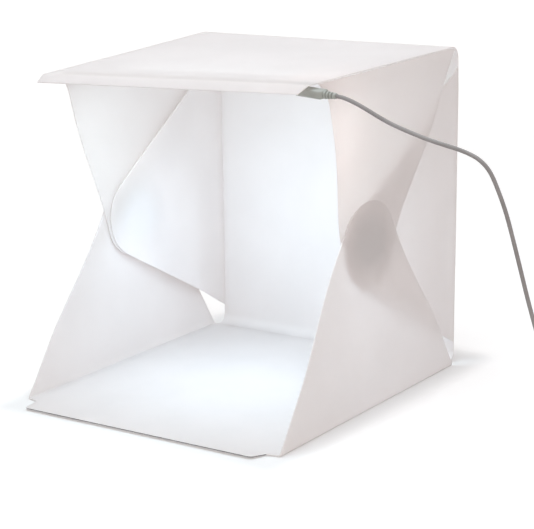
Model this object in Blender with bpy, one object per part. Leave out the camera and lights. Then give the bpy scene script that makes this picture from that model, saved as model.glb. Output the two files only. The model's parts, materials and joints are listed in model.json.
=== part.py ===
"""Folding photo light tent: one thin white sheet folded into a base, a back, a top and six side flaps,
with a lamp strip under the top and a lead to a plug. Metres, +Z up, X across, the open front at -Y.
Origin: on the floor, under the middle of the tent's own box, the lead and its plugs left out."""

import math

import bmesh
import bpy
from mathutils import Matrix, Vector

MM = 0.001

# The sheet and the clearance that touching pieces keep
SHEET_THICKNESS = 0.8 * MM
GAP = 0.3 * MM
BEND_RADIUS = 8.0 * MM
BEND_STEPS = 6
CORNER_STEPS = 6

# Base, back and top, along the folded sheet
BASE_FLAT_DEPTH = 232.0 * MM
TOP_HEIGHT = 239.0 * MM
BACK_LEAN = math.radians(2.0)
TOP_DROOP = math.radians(1.5)
TOP_SETBACK = 59.0 * MM  # from the base's front edge back to the crease of the top's lip
LIP_WIDTH = 10.0 * MM
LIP_ANGLE = math.radians(25.0)
LOWER_FLAP_SPREAD = 229.0 * MM  # between the two lower flaps' folds
TOP_OVERHANG = 1.0 * MM  # the top's side edges stand out past the lower flaps' folds
BASE_CORNER_RADIUS = 4.0 * MM
TOP_CORNER_CUT = 1.0 * MM
LIP_CORNER_RADIUS = 2.5 * MM
TAB_INSET = 9.7 * MM  # from the side folds in to the rear ends of the base's front tab
TAB_TAPER = 4.6 * MM  # how much narrower the tab is at its front, on each side
TAB_NOTCH = 2.0 * MM  # along the fold, from the tab's rear end to where the fold starts
BACK_INSET = 4.0 * MM  # from the planes of the lower flaps in to the back's side edges

# Side flaps: where each fold starts and ends, and the round tip's place, told from the pads' middle
LOWER_FOLD_FRONT = 14.5 * MM  # from the base's front edge
LOWER_FOLD_REAR = 2.0 * MM  # from the base's rear bend
LOWER_TIP_AHEAD = 2.0 * MM
LOWER_TIP_DROP = 3.0 * MM
LOWER_TIP_RADIUS = 32.0 * MM
UPPER_FOLD_FRONT = 21.0 * MM  # from the lip's crease
UPPER_FOLD_REAR = 1.0 * MM  # from the top's rear bend
UPPER_TIP_AHEAD = 2.0 * MM
UPPER_TIP_DROP = 2.5 * MM
UPPER_TIP_RADIUS = 30.0 * MM
REAR_FOLD_FOOT = 7.0 * MM  # from the back's lower bend
REAR_FOLD_HEAD = 7.3 * MM  # from the back's upper bend
REAR_TIP_BEHIND = 2.0 * MM
REAR_TIP_DROP = 2.0 * MM
REAR_TIP_RADIUS = 32.0 * MM
TIP_STEPS = 18

# Hook and loop pads between the layers
PAD_DIAMETER = 34.0 * MM
PAD_THICKNESS = 0.9 * MM
PAD_DEPTH = 104.0 * MM  # in front of the back panel
PAD_HEIGHT = 116.0 * MM  # above the floor
PAD_SIDES = 40

# Lamp strip under the top
BOARD_END_MARGIN = 9.0 * MM  # from each upper flap's fold
BOARD_WIDTH = 8.0 * MM
BOARD_THICKNESS = 1.0 * MM
BOARD_SETBACK = 3.0 * MM  # from the lip's crease
TAPE_THICKNESS = 0.5 * MM
LAMP_COUNT = 20
LAMP_END_MARGIN = 12.0 * MM
LAMP_LENGTH = 3.5 * MM
LAMP_WIDTH = 2.8 * MM
LAMP_THICKNESS = 0.9 * MM
LAMP_OFFSET = 1.5 * MM  # lamps sit towards the board's front edge
RESISTOR_COUNT = 4
RESISTOR_LENGTH = 2.0 * MM
RESISTOR_WIDTH = 1.2 * MM
RESISTOR_THICKNESS = 0.5 * MM
RESISTOR_OFFSET = 2.4 * MM  # behind the board's middle
SOCKET_LENGTH = 5.6 * MM
SOCKET_WIDTH = 7.7 * MM
SOCKET_THICKNESS = 2.9 * MM
SOCKET_WALL = 0.3 * MM
SOCKET_FLOOR = 0.6 * MM

# The plug in the lamp's socket
PLUG_DROOP = math.radians(2.5)  # the play in the socket lets it hang a little
NOSE_LENGTH = 6.5 * MM
PLUG_LENGTH = 20.5 * MM
PLUG_WIDTH = 9.5 * MM
PLUG_THICKNESS = 5.6 * MM
PLUG_EDGE = 1.4 * MM
RELIEF_LENGTH = 8.5 * MM
RELIEF_WIDE_DIAMETER = 5.4 * MM
RELIEF_NARROW_DIAMETER = 4.0 * MM
RELIEF_GROOVE = 0.5 * MM
RELIEF_RIBS = 4
RELIEF_SIDES = 16
RIB_SHARE = 0.55  # of the ribs' pitch
GROOVE_START_SHARE = 0.65
GROOVE_END_SHARE = 0.9
NOSE_WALL_CLEARANCE = 0.2 * MM

# The lead. Its route is in the tent's own frame: across, behind the base's front edge, above the floor
CORD_DIAMETER = 2.6 * MM
CORD_POINT_STEP_SHARE = 2.5  # diameters from one point of the free stretch to the next
CORD_ROUTE = [
    Vector(point) * MM
    for point in (
        (139.5, 66, 227.4), (147.8, 66, 224.6), (156.6, 66, 220.8), (165.4, 66, 216.7),
        (174.1, 66, 213.1), (187, 66, 208.9), (199.8, 66, 205.3), (212.4, 66, 202.5),
        (221, 66, 200.7), (228.6, 66, 198.5), (234.6, 66, 195.9), (239.9, 66, 191.8),
        (243.9, 66, 186.4), (247.9, 66, 177.9), (251.7, 66, 168.4), (255.2, 66, 157.5),
        (261.3, 66, 135), (267.8, 66, 110.5), (275.2, 66, 86), (284, 66, 61), (294.5, 66, 38),
        (307, 66, 20), (321, 66, 8), (332, 66, 3.4),
    )
]
COIL_AXIS = 345.0 * MM  # across, from the tent's middle
COIL_DIAMETER = 41.6 * MM  # the outer turn's middle line
COIL_TURNS_A_LAYER = 3
COIL_CLIMB_TURNS = 0.5
COIL_POINTS_A_TURN = 24
COIL_CLEARANCE = 0.6 * MM
COIL_TAIL = 16.0 * MM
TIE_WIDTH = 5.0 * MM
TIE_THICKNESS = 0.6 * MM
TIE_CLEARANCE = 0.6 * MM
FLOOR_CLEARANCE = 0.1 * MM

# The plug on the lead's far end
FAR_RELIEF_LENGTH = 9.0 * MM
FAR_RELIEF_WIDE_DIAMETER = 6.0 * MM
FAR_BODY_LENGTH = 24.0 * MM
FAR_BODY_WIDTH = 16.0 * MM
FAR_BODY_THICKNESS = 8.0 * MM
FAR_BODY_EDGE = 1.6 * MM
FAR_SHELL_LENGTH = 12.0 * MM
FAR_SHELL_WIDTH = 12.0 * MM
FAR_SHELL_THICKNESS = 4.5 * MM
FAR_SHELL_WALL = 0.3 * MM
FAR_INSERT_THICKNESS = 1.9 * MM
FAR_INSERT_SETBACK = 0.8 * MM

# Worked out from the sizes above
HALF_SHEET = SHEET_THICKNESS / 2
FOLD_REACH = HALF_SHEET + GAP / 2  # from a fold's axis to where a panel's full thickness starts
LAYER_PITCH = SHEET_THICKNESS + 2 * PAD_THICKNESS + 3 * GAP
LOWER_PLANE = LOWER_FLAP_SPREAD / 2
UPPER_PLANE = LOWER_PLANE - LAYER_PITCH
REAR_PLANE = UPPER_PLANE - LAYER_PITCH
TOP_HALF_WIDTH = LOWER_PLANE + TOP_OVERHANG
BACK_HALF_WIDTH = LOWER_PLANE - BACK_INSET
LOWER_TURN = (math.pi / 2 - BACK_LEAN) / 2  # half of the bend between base and back
UPPER_TURN = (math.pi / 2 + BACK_LEAN + TOP_DROOP) / 2  # half of the bend between back and top
BACK_FOOT = BEND_RADIUS * math.sin(LOWER_TURN)  # along the back, from its fold to its flat part
BACK_OFFSET = BEND_RADIUS * (1 - math.cos(LOWER_TURN))  # the back's flat part stands behind its fold
TOP_FOOT = BEND_RADIUS * math.sin(UPPER_TURN)
TOP_OFFSET = BEND_RADIUS * (1 - math.cos(UPPER_TURN))
LOWER_BEND_RISE = BEND_RADIUS * (1 - math.sin(BACK_LEAN))
UPPER_BEND_RISE = BEND_RADIUS * (math.sin(BACK_LEAN) + math.cos(TOP_DROOP))
BACK_FLAT_HEIGHT = (
    TOP_HEIGHT - SHEET_THICKNESS - LOWER_BEND_RISE - UPPER_BEND_RISE
) / math.cos(BACK_LEAN)
UPPER_BEND_AXIS_DEPTH = BASE_FLAT_DEPTH + BACK_FLAT_HEIGHT * math.sin(BACK_LEAN)
TOP_FLAT_DEPTH = (
    UPPER_BEND_AXIS_DEPTH - BEND_RADIUS * math.sin(TOP_DROOP) - TOP_SETBACK
) / math.cos(TOP_DROOP)
LOWER_FOLD_LENGTH = BASE_FLAT_DEPTH - LOWER_FOLD_FRONT - LOWER_FOLD_REAR
UPPER_FOLD_LENGTH = TOP_FLAT_DEPTH - UPPER_FOLD_FRONT - UPPER_FOLD_REAR
REAR_FOLD_LENGTH = BACK_FLAT_HEIGHT - REAR_FOLD_FOOT - REAR_FOLD_HEAD
BOARD_LENGTH = 2 * (UPPER_PLANE - BOARD_END_MARGIN)
PADS = Vector((0.0, UPPER_BEND_AXIS_DEPTH - PAD_DEPTH, PAD_HEIGHT))  # their middle, in the tent's frame
OVERALL_DEPTH = UPPER_BEND_AXIS_DEPTH + BEND_RADIUS + HALF_SHEET

BACK_AXIS = Vector((
    0.0,
    BASE_FLAT_DEPTH + BEND_RADIUS * math.sin(LOWER_TURN),
    HALF_SHEET + BEND_RADIUS * (1 - math.cos(LOWER_TURN)),
))
TOP_AXIS_IN_BACK = Vector((
    0.0,
    BACK_OFFSET - BEND_RADIUS * (1 - math.cos(UPPER_TURN)),
    BACK_FOOT + BACK_FLAT_HEIGHT + BEND_RADIUS * math.sin(UPPER_TURN),
))

SHEET = ("white_sheet", (0.90, 0.90, 0.91), 0.45, 0.0)
PAD_HOOK = ("hook_pad", (0.78, 0.78, 0.78), 0.9, 0.0)
PAD_LOOP = ("loop_pad", (0.82, 0.82, 0.82), 0.95, 0.0)
BOARD = ("circuit_board", (0.92, 0.92, 0.90), 0.5, 0.0)
TAPE = ("tape", (0.85, 0.85, 0.82), 0.7, 0.0)
LAMP = ("lamp", (0.98, 0.92, 0.55), 0.3, 0.0)
RESISTOR = ("resistor", (0.04, 0.04, 0.04), 0.5, 0.0)
STEEL = ("plated_steel", (0.70, 0.71, 0.72), 0.3, 1.0)
PLUG_GREY = ("plug_grey", (0.40, 0.42, 0.40), 0.5, 0.0)
CORD_GREY = ("cord_grey", (0.38, 0.37, 0.36), 0.55, 0.0)
TIE_BLACK = ("tie_black", (0.05, 0.05, 0.05), 0.8, 0.0)
INSERT_BLACK = ("insert_black", (0.03, 0.03, 0.03), 0.5, 0.0)


def clear_scene():
    for old in list(bpy.data.objects):
        bpy.data.objects.remove(old, do_unlink=True)


def material(look):
    name, colour, roughness, metallic = look
    made = bpy.data.materials.get(name)
    if made is None:
        made = bpy.data.materials.new(name)
        made.use_nodes = True
        shader = made.node_tree.nodes["Principled BSDF"]
        shader.inputs["Base Color"].default_value = (*colour, 1.0)
        shader.inputs["Roughness"].default_value = roughness
        shader.inputs["Metallic"].default_value = metallic
    return made


def frame(name, parent, place, turn=(0.0, 0.0, 0.0)):
    """An empty that stands on a joint's axis, or at the reference of a group of pieces."""
    empty = bpy.data.objects.new(name, None)
    bpy.context.scene.collection.objects.link(empty)
    empty.parent = parent
    empty.location = place
    empty.rotation_euler = turn
    return empty


def piece(name, bm, parent, look, smooth=False):
    """A closed mesh, in its parent's own coordinates, as a named object."""
    bmesh.ops.recalc_face_normals(bm, faces=bm.faces)
    mesh = bpy.data.meshes.new(name)
    bm.to_mesh(mesh)
    bm.free()
    if smooth:
        mesh.shade_smooth()
        mesh.set_sharp_from_angle(angle=math.radians(35))
    mesh.materials.append(material(look))
    made = bpy.data.objects.new(name, mesh)
    bpy.context.scene.collection.objects.link(made)
    made.parent = parent
    return made


def arc(centre, radius, start, end, steps):
    """Points along an arc, both ends included."""
    angles = [start + (end - start) * i / steps for i in range(steps + 1)]
    return [(centre[0] + radius * math.cos(a), centre[1] + radius * math.sin(a)) for a in angles]


def plate(outline, thickness):
    """A flat outline in X and Y, given a thickness that Z halves."""
    bm = bmesh.new()
    rim = [bm.verts.new((x, y, -thickness / 2)) for x, y in outline]
    bm.faces.new(rim)
    moved = bmesh.ops.extrude_face_region(bm, geom=list(bm.faces))["geom"]
    top = [v for v in moved if isinstance(v, bmesh.types.BMVert)]
    bmesh.ops.translate(bm, verts=top, vec=(0.0, 0.0, thickness))
    bmesh.ops.recalc_face_normals(bm, faces=bm.faces)
    return bm


def face_towards(bm, direction, near):
    """The face that looks along a direction and whose middle is nearest to a point."""
    direction, near = Vector(direction), Vector(near)
    facing = [f for f in bm.faces if f.normal.dot(direction) > math.cos(math.radians(1))]
    return min(facing, key=lambda f: (f.calc_center_median() - near).length)


def pulled_out(bm, face):
    """Extrudes one face of a solid, leaves nothing inside, and gives the new face's corners."""
    grown = bmesh.ops.extrude_face_region(bm, geom=[face])["geom"]
    bmesh.ops.delete(bm, geom=[face], context="FACES_ONLY")
    return [v for v in grown if isinstance(v, bmesh.types.BMVert)]


def wedge(bm, face, reach=HALF_SHEET):
    """Runs a sheet's edge face out to a blunt point at mid thickness, which leaves room to fold."""
    outward = face.normal.copy()
    middle = face.calc_center_median()
    across = min((e.verts[1].co - e.verts[0].co for e in face.edges), key=lambda d: d.length).normalized()
    tips = pulled_out(bm, face)
    for v in tips:
        v.co -= across * (v.co - middle).dot(across)
        v.co += outward * reach
    bmesh.ops.remove_doubles(bm, verts=tips, dist=SHEET_THICKNESS / 100)


def bend(bm, face, centre, angle):
    """Runs a sheet's edge face round a bend about the X direction, and gives the last face."""
    geometry = [face, *face.edges, *face.verts]
    last = bmesh.ops.spin(
        bm, geom=geometry, cent=centre, axis=(1.0, 0.0, 0.0), dvec=(0.0, 0.0, 0.0),
        angle=angle, steps=BEND_STEPS, use_duplicate=False,
    )["geom_last"]
    end = next(f for f in last if isinstance(f, bmesh.types.BMFace))
    bmesh.ops.recalc_face_normals(bm, faces=bm.faces)
    return end


def block(size, centre):
    bm = bmesh.new()
    bmesh.ops.create_cube(bm, size=1.0, matrix=Matrix.Translation(centre) @ Matrix.Diagonal((*size, 1.0)))
    return bm


def rounded_block(size, centre, edge, segments=3):
    """A block whose long edges, those along X, and end edges are rounded."""
    bm = block(size, centre)
    bmesh.ops.bevel(
        bm, geom=list(bm.edges), offset=edge, segments=segments, profile=0.5, affect="EDGES", material=-1,
    )
    return bm


def hollow_block(size, centre, wall, floor, mouth):
    """A block with a pocket that opens in the X direction given by mouth, 1 or -1."""
    bm = block(size, centre)
    face = face_towards(bm, (mouth, 0.0, 0.0), centre)
    bmesh.ops.inset_region(bm, faces=[face], thickness=wall, use_even_offset=True)
    bmesh.ops.translate(bm, verts=pulled_out(bm, face), vec=(-mouth * (size[0] - floor), 0.0, 0.0))
    return bm


def turned(profile, centre, sides, heading):
    """A solid turned about the X direction. The profile is (distance along X, radius), from one end."""
    bm = bmesh.new()
    rings = []
    for along, radius in profile:
        ring = bmesh.ops.create_circle(
            bm, segments=sides, radius=radius,
            matrix=Matrix.Translation(Vector(centre) + Vector((heading * along, 0.0, 0.0)))
            @ Matrix.Rotation(math.pi / 2, 4, "Y"),
        )["verts"]
        rings.append(ring)
    for first, second in zip(rings, rings[1:]):
        for i in range(sides):
            j = (i + 1) % sides
            bm.faces.new((first[i], first[j], second[j], second[i]))
    bm.faces.new(rings[0])
    bm.faces.new(rings[-1])
    return bm


def ribbed_profile(length, wide, narrow, ribs, groove):
    """A tapering strain relief: each rib has two full rings, and a groove follows it."""
    pitch = length / ribs
    profile = []
    for i in range(ribs):
        radius = (wide + (narrow - wide) * i / (ribs - 1)) / 2
        profile += [(i * pitch, radius), ((i + RIB_SHARE) * pitch, radius)]
        if i < ribs - 1:
            profile.append(((i + GROOVE_START_SHARE) * pitch, radius - groove))
            profile.append(((i + GROOVE_END_SHARE) * pitch, radius - groove))
    profile.append((length, narrow / 2))
    return profile


def flap_outline(start, length, centre, radius):
    """A side flap from its fold, a little off Y zero, to its round tip, whose circle its straight edges
    touch."""

    def touch(end_x, side):
        away = Vector((end_x, start)) - centre
        return math.atan2(away.y, away.x) + side * math.acos(radius / away.length)

    first = touch(length, 1)
    last = touch(0.0, -1) + 2 * math.pi
    return [(0.0, start), (length, start), *arc(centre, radius, first, last, TIP_STEPS)]


def flap(name, fold, length, tip, radius, to_fold, tent, shift):
    """A side flap. The tip is a point in the tent's frame, and the matrix takes (along the fold, away
    from it, thickness) to the fold's own frame. A flap whose middle is shifted off its fold turns
    towards the other side and ends square there; one with no shift ends in a wedge."""
    centre = to_fold.inverted() @ fold.matrix_world.inverted() @ tent.matrix_world @ tip
    start = 0.0 if shift else FOLD_REACH
    bm = plate(flap_outline(start, length, centre.to_2d(), radius), SHEET_THICKNESS)
    if shift:
        bmesh.ops.translate(bm, verts=bm.verts, vec=(0.0, 0.0, shift))
    else:
        wedge(bm, face_towards(bm, (0.0, -1.0, 0.0), (length / 2, start, 0.0)))
    bmesh.ops.transform(bm, matrix=to_fold, verts=bm.verts)
    return piece(name, bm, fold, SHEET)


def mirrored(outline):
    """The outline's right half, from the front's middle to the rear's, and its mirror image."""
    return outline + [(-x, y) for x, y in reversed(outline)]


def base_panel(parent):
    edge = LOWER_PLANE - FOLD_REACH
    tab_rear = LOWER_PLANE - TAB_INSET
    tab_length = LOWER_FOLD_FRONT - TAB_NOTCH
    slant = math.atan2(TAB_TAPER, tab_length)
    corner = tab_rear - TAB_TAPER - BASE_CORNER_RADIUS * (1 - math.sin(slant)) / math.cos(slant)
    half = [
        *arc((corner, BASE_CORNER_RADIUS), BASE_CORNER_RADIUS, -math.pi / 2, -slant, CORNER_STEPS),
        (tab_rear, tab_length),
        (edge, LOWER_FOLD_FRONT - GAP),
        (edge, LOWER_FOLD_FRONT + LOWER_FOLD_LENGTH),
        (LOWER_PLANE, LOWER_FOLD_FRONT + LOWER_FOLD_LENGTH + GAP),
        (BACK_HALF_WIDTH, BASE_FLAT_DEPTH),
    ]
    bm = plate(mirrored(half), SHEET_THICKNESS)
    bmesh.ops.translate(bm, verts=bm.verts, vec=(0.0, 0.0, HALF_SHEET))
    fold_middle = LOWER_FOLD_FRONT + LOWER_FOLD_LENGTH / 2
    for side in (1, -1):
        wedge(bm, face_towards(bm, (side, 0.0, 0.0), (side * edge, fold_middle, HALF_SHEET)))
    rear = face_towards(bm, (0.0, 1.0, 0.0), (0.0, BASE_FLAT_DEPTH, HALF_SHEET))
    turn = LOWER_TURN - FOLD_REACH / BEND_RADIUS
    last = bend(bm, rear, (0.0, BASE_FLAT_DEPTH, HALF_SHEET + BEND_RADIUS), turn)
    wedge(bm, last)
    return piece("base_panel", bm, parent, SHEET)


def back_panel(parent):
    bm = plate(mirrored([(BACK_HALF_WIDTH, 0.0), (BACK_HALF_WIDTH, BACK_FLAT_HEIGHT)]), SHEET_THICKNESS)
    upright = Matrix.Translation((0.0, BACK_OFFSET, BACK_FOOT)) @ Matrix.Rotation(math.pi / 2, 4, "X")
    bmesh.ops.transform(bm, matrix=upright, verts=bm.verts)
    bmesh.ops.recalc_face_normals(bm, faces=bm.faces)
    bend_axis = BACK_OFFSET - BEND_RADIUS
    foot = face_towards(bm, (0.0, 0.0, -1.0), (0.0, BACK_OFFSET, BACK_FOOT))
    lower = bend(bm, foot, (0.0, bend_axis, BACK_FOOT), FOLD_REACH / BEND_RADIUS - LOWER_TURN)
    wedge(bm, lower)
    height = BACK_FOOT + BACK_FLAT_HEIGHT
    head = face_towards(bm, (0.0, 0.0, 1.0), (0.0, BACK_OFFSET, height))
    upper = bend(bm, head, (0.0, bend_axis, height), UPPER_TURN - FOLD_REACH / BEND_RADIUS)
    wedge(bm, upper)
    return piece("back_panel", bm, parent, SHEET)


def top_front():
    """Where the top's flat part ends, at the lip's crease, in the top's own frame."""
    return -(TOP_FOOT + TOP_FLAT_DEPTH)


def top_panel(parent):
    """The top, from its rear bend to the lip's crease. It covers the upper ends of all the side flaps."""
    front = top_front()
    half = [
        (TOP_HALF_WIDTH - TOP_CORNER_CUT, front + FOLD_REACH),
        (TOP_HALF_WIDTH, front + FOLD_REACH + TOP_CORNER_CUT),
        (TOP_HALF_WIDTH, -(TOP_FOOT + UPPER_FOLD_REAR)),
        (BACK_HALF_WIDTH, -TOP_FOOT),
    ]
    bm = plate(mirrored(half), SHEET_THICKNESS)
    bmesh.ops.translate(bm, verts=bm.verts, vec=(0.0, 0.0, TOP_OFFSET))
    wedge(bm, face_towards(bm, (0.0, -1.0, 0.0), (0.0, front, TOP_OFFSET)))
    rear = face_towards(bm, (0.0, 1.0, 0.0), (0.0, -TOP_FOOT, TOP_OFFSET))
    turn = FOLD_REACH / BEND_RADIUS - UPPER_TURN
    last = bend(bm, rear, (0.0, -TOP_FOOT, TOP_OFFSET - BEND_RADIUS), turn)
    wedge(bm, last)
    return piece("top_panel", bm, parent, SHEET)


def front_lip(parent):
    """The narrow strip creased down at the front of the top, in front of the lamps."""
    wide = TOP_HALF_WIDTH - TOP_CORNER_CUT
    corner = (wide - LIP_CORNER_RADIUS, LIP_WIDTH - LIP_CORNER_RADIUS)
    half = [*reversed(arc(corner, LIP_CORNER_RADIUS, 0.0, math.pi / 2, CORNER_STEPS)), (wide, FOLD_REACH)]
    bm = plate(mirrored(half), SHEET_THICKNESS)
    wedge(bm, face_towards(bm, (0.0, -1.0, 0.0), (0.0, FOLD_REACH, 0.0)))
    place = Matrix.Translation((0.0, top_front(), TOP_OFFSET))
    turn = Matrix.Rotation(LIP_ANGLE, 4, "X") @ Matrix.Rotation(math.pi, 4, "Z")
    bmesh.ops.transform(bm, matrix=place @ turn, verts=bm.verts)
    return piece("front_lip", bm, parent, SHEET)


def pad(name, parent, inside, look, place):
    """A round pad, flat to the flap. inside is where its face nearest to the tent's middle lies."""
    bm = bmesh.new()
    bmesh.ops.create_cone(
        bm, cap_ends=True, segments=PAD_SIDES, radius1=PAD_DIAMETER / 2, radius2=PAD_DIAMETER / 2,
        depth=PAD_THICKNESS,
        matrix=Matrix.Translation((inside + math.copysign(PAD_THICKNESS / 2, inside), place.y, place.z))
        @ Matrix.Rotation(math.pi / 2, 4, "Y"),
    )
    bmesh.ops.transform(bm, matrix=parent.matrix_world.inverted(), verts=bm.verts)
    return piece(name, bm, parent, look)


def side_pads(side, label, frames, tent):
    """The two pairs of pads on one side: each pair joins two neighbouring layers of flaps."""
    place = tent.matrix_world @ PADS
    face = HALF_SHEET + GAP
    back_of_pad = face + PAD_THICKNESS
    pads = (
        ("lower_flap_hook_pad", "lower", LOWER_PLANE - back_of_pad, PAD_HOOK),
        ("upper_flap_loop_pad", "upper", UPPER_PLANE + face, PAD_LOOP),
        ("upper_flap_hook_pad", "upper", UPPER_PLANE - back_of_pad, PAD_HOOK),
        ("rear_flap_loop_pad", "rear", REAR_PLANE + face, PAD_LOOP),
    )
    for name, layer, inside, look in pads:
        pad(f"{label}_{name}", frames[layer], side * inside, look, place)


def side_folds(side, label, base, back, top):
    """The folds of one side's three flaps. The lower one is in the base's edge. The upper one lies under
    the top, on the flap's outer face, and the rear one in front of the back, on the flap's inner face."""
    lower_place = (side * LOWER_PLANE, LOWER_FOLD_FRONT, HALF_SHEET)
    upper_place = (
        side * (UPPER_PLANE + HALF_SHEET), -(TOP_FOOT + UPPER_FOLD_REAR), TOP_OFFSET - HALF_SHEET - GAP,
    )
    rear_place = (
        side * (REAR_PLANE - HALF_SHEET), BACK_OFFSET - HALF_SHEET - GAP, BACK_FOOT + REAR_FOLD_FOOT,
    )
    return {
        "lower": frame(f"{label}_lower_fold", base, lower_place),
        "upper": frame(f"{label}_upper_fold", top, upper_place),
        "rear": frame(f"{label}_rear_fold", back, rear_place),
    }


def side_flaps(side, label, folds, tent):
    """The three flaps of one side, each on its own fold, with their tips round the pads."""
    upward = Matrix(((0, 0, 1, 0), (1, 0, 0, 0), (0, 1, 0, 0), (0, 0, 0, 1)))
    downward = Matrix(((0, 0, 1, 0), (-1, 0, 0, 0), (0, -1, 0, 0), (0, 0, 0, 1)))
    forward = Matrix(((0, 0, 1, 0), (0, -1, 0, 0), (1, 0, 0, 0), (0, 0, 0, 1)))
    lower_tip = PADS - Vector((0.0, LOWER_TIP_AHEAD, LOWER_TIP_DROP))
    upper_tip = PADS - Vector((0.0, UPPER_TIP_AHEAD, UPPER_TIP_DROP))
    rear_tip = PADS - Vector((0.0, -REAR_TIP_BEHIND, REAR_TIP_DROP))
    shift = side * HALF_SHEET
    flap(f"{label}_lower_flap", folds["lower"], LOWER_FOLD_LENGTH, lower_tip, LOWER_TIP_RADIUS, upward,
         tent, 0.0)
    flap(f"{label}_upper_flap", folds["upper"], UPPER_FOLD_LENGTH, upper_tip, UPPER_TIP_RADIUS, downward,
         tent, -shift)
    flap(f"{label}_rear_flap", folds["rear"], REAR_FOLD_LENGTH, rear_tip, REAR_TIP_RADIUS, forward,
         tent, shift)


def board_middle():
    """The lamp board's middle, in the top's own frame: across, along, and the height of its upper face."""
    along = top_front() + BOARD_SETBACK + BOARD_WIDTH / 2
    upper_face = TOP_OFFSET - HALF_SHEET - 2 * GAP - TAPE_THICKNESS
    return along, upper_face


def row_of_blocks(name, count, length, size, along, height, parent, look):
    """Equal small blocks spread along the board, each its own object."""
    pitch = length / (count - 1)
    for i in range(count):
        centre = (-length / 2 + i * pitch, along, height)
        piece(f"{name}_{i + 1:02d}", block(size, centre), parent, look)


def lamp_strip(parent):
    along, upper_face = board_middle()
    tape_height = upper_face + GAP + TAPE_THICKNESS / 2
    tape = block((BOARD_LENGTH, BOARD_WIDTH, TAPE_THICKNESS), (0.0, along, tape_height))
    piece("strip_tape", tape, parent, TAPE)
    board_height = upper_face - BOARD_THICKNESS / 2
    board = block((BOARD_LENGTH, BOARD_WIDTH, BOARD_THICKNESS), (0.0, along, board_height))
    piece("lamp_board", board, parent, BOARD)
    under = upper_face - BOARD_THICKNESS - GAP
    run = BOARD_LENGTH - 2 * (LAMP_END_MARGIN + SOCKET_LENGTH)
    row_of_blocks("lamp", LAMP_COUNT, run, (LAMP_LENGTH, LAMP_WIDTH, LAMP_THICKNESS),
                  along - LAMP_OFFSET, under - LAMP_THICKNESS / 2, parent, LAMP)
    row_of_blocks("resistor", RESISTOR_COUNT, run, (RESISTOR_LENGTH, RESISTOR_WIDTH, RESISTOR_THICKNESS),
                  along + RESISTOR_OFFSET, under - RESISTOR_THICKNESS / 2, parent, RESISTOR)


def socket_axis():
    """The height of the socket's middle, in the top's own frame."""
    return board_middle()[1] - BOARD_THICKNESS - GAP - SOCKET_THICKNESS / 2


def socket_and_plug(parent):
    """The socket under the board's right end, and the plug that sits in it."""
    along, height = board_middle()[0], socket_axis()
    mouth = BOARD_LENGTH / 2
    socket = hollow_block(
        (SOCKET_LENGTH, SOCKET_WIDTH, SOCKET_THICKNESS), (mouth - SOCKET_LENGTH / 2, along, height),
        SOCKET_WALL, SOCKET_FLOOR, 1,
    )
    piece("lamp_socket", socket, parent, STEEL)
    inside = 2 * (SOCKET_WALL + NOSE_WALL_CLEARANCE)
    held = SOCKET_LENGTH - SOCKET_FLOOR - GAP  # how much of the nose the socket holds
    plug = frame("lamp_plug", parent, (mouth - held / 2, along, height), (0.0, PLUG_DROOP, 0.0))
    nose = block((NOSE_LENGTH, SOCKET_WIDTH - inside, SOCKET_THICKNESS - inside),
                 ((NOSE_LENGTH - held) / 2, 0.0, 0.0))
    piece("lamp_plug_nose", nose, plug, STEEL)
    body_start = NOSE_LENGTH - held / 2 + GAP
    body = rounded_block((PLUG_LENGTH, PLUG_WIDTH, PLUG_THICKNESS),
                         (body_start + PLUG_LENGTH / 2, 0.0, 0.0), PLUG_EDGE)
    piece("lamp_plug_body", body, plug, PLUG_GREY, smooth=True)
    relief_start = body_start + PLUG_LENGTH + GAP
    profile = ribbed_profile(RELIEF_LENGTH, RELIEF_WIDE_DIAMETER, RELIEF_NARROW_DIAMETER,
                             RELIEF_RIBS, RELIEF_GROOVE)
    relief = turned(profile, (relief_start, 0.0, 0.0), RELIEF_SIDES, 1)
    piece("lamp_plug_relief", relief, plug, PLUG_GREY, smooth=True)
    bpy.context.view_layer.update()
    return plug.matrix_world @ Vector((relief_start + RELIEF_LENGTH + GAP, 0.0, 0.0))


def smooth_route(points, step):
    """Points a step apart on one smooth curve through the route's own points."""
    padded = [2 * points[0] - points[1], *points, 2 * points[-1] - points[-2]]
    fine = []
    for a, b, c, d in zip(padded, padded[1:], padded[2:], padded[3:]):
        for i in range(20):
            t = i / 20
            fine.append(0.5 * (2 * b + (c - a) * t + (2 * a - 5 * b + 4 * c - d) * t**2
                               + (3 * b - a - 3 * c + d) * t**3))
    fine.append(points[-1])
    total = sum((q - p).length for p, q in zip(fine, fine[1:]))
    count = max(2, round(total / step))
    spaced, travelled, target = [fine[0]], 0.0, total / count
    for p, q in zip(fine, fine[1:]):
        length = (q - p).length
        while travelled + length >= target and len(spaced) < count:
            spaced.append(p.lerp(q, (target - travelled) / length))
            target += total / count
        travelled += length
    spaced.append(fine[-1])
    return spaced, total


def tube(name, points, resolution, parent, look):
    """A round cord along the points, with closed ends."""
    curve = bpy.data.curves.new(name, "CURVE")
    curve.dimensions = "3D"
    spline = curve.splines.new("POLY")
    spline.points.add(len(points) - 1)
    for target, point in zip(spline.points, points):
        target.co = (*point, 1.0)
    curve.bevel_depth = CORD_DIAMETER / 2
    curve.bevel_resolution = resolution
    curve.use_fill_caps = True
    curve.materials.append(material(look))
    made = bpy.data.objects.new(name, curve)
    bpy.context.scene.collection.objects.link(made)
    made.parent = parent
    return made


def coil_sizes():
    pitch = CORD_DIAMETER + COIL_CLEARANCE
    outer = COIL_DIAMETER / 2
    low = FLOOR_CLEARANCE + TIE_THICKNESS + TIE_CLEARANCE + CORD_DIAMETER / 2
    return pitch, outer, low


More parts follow.
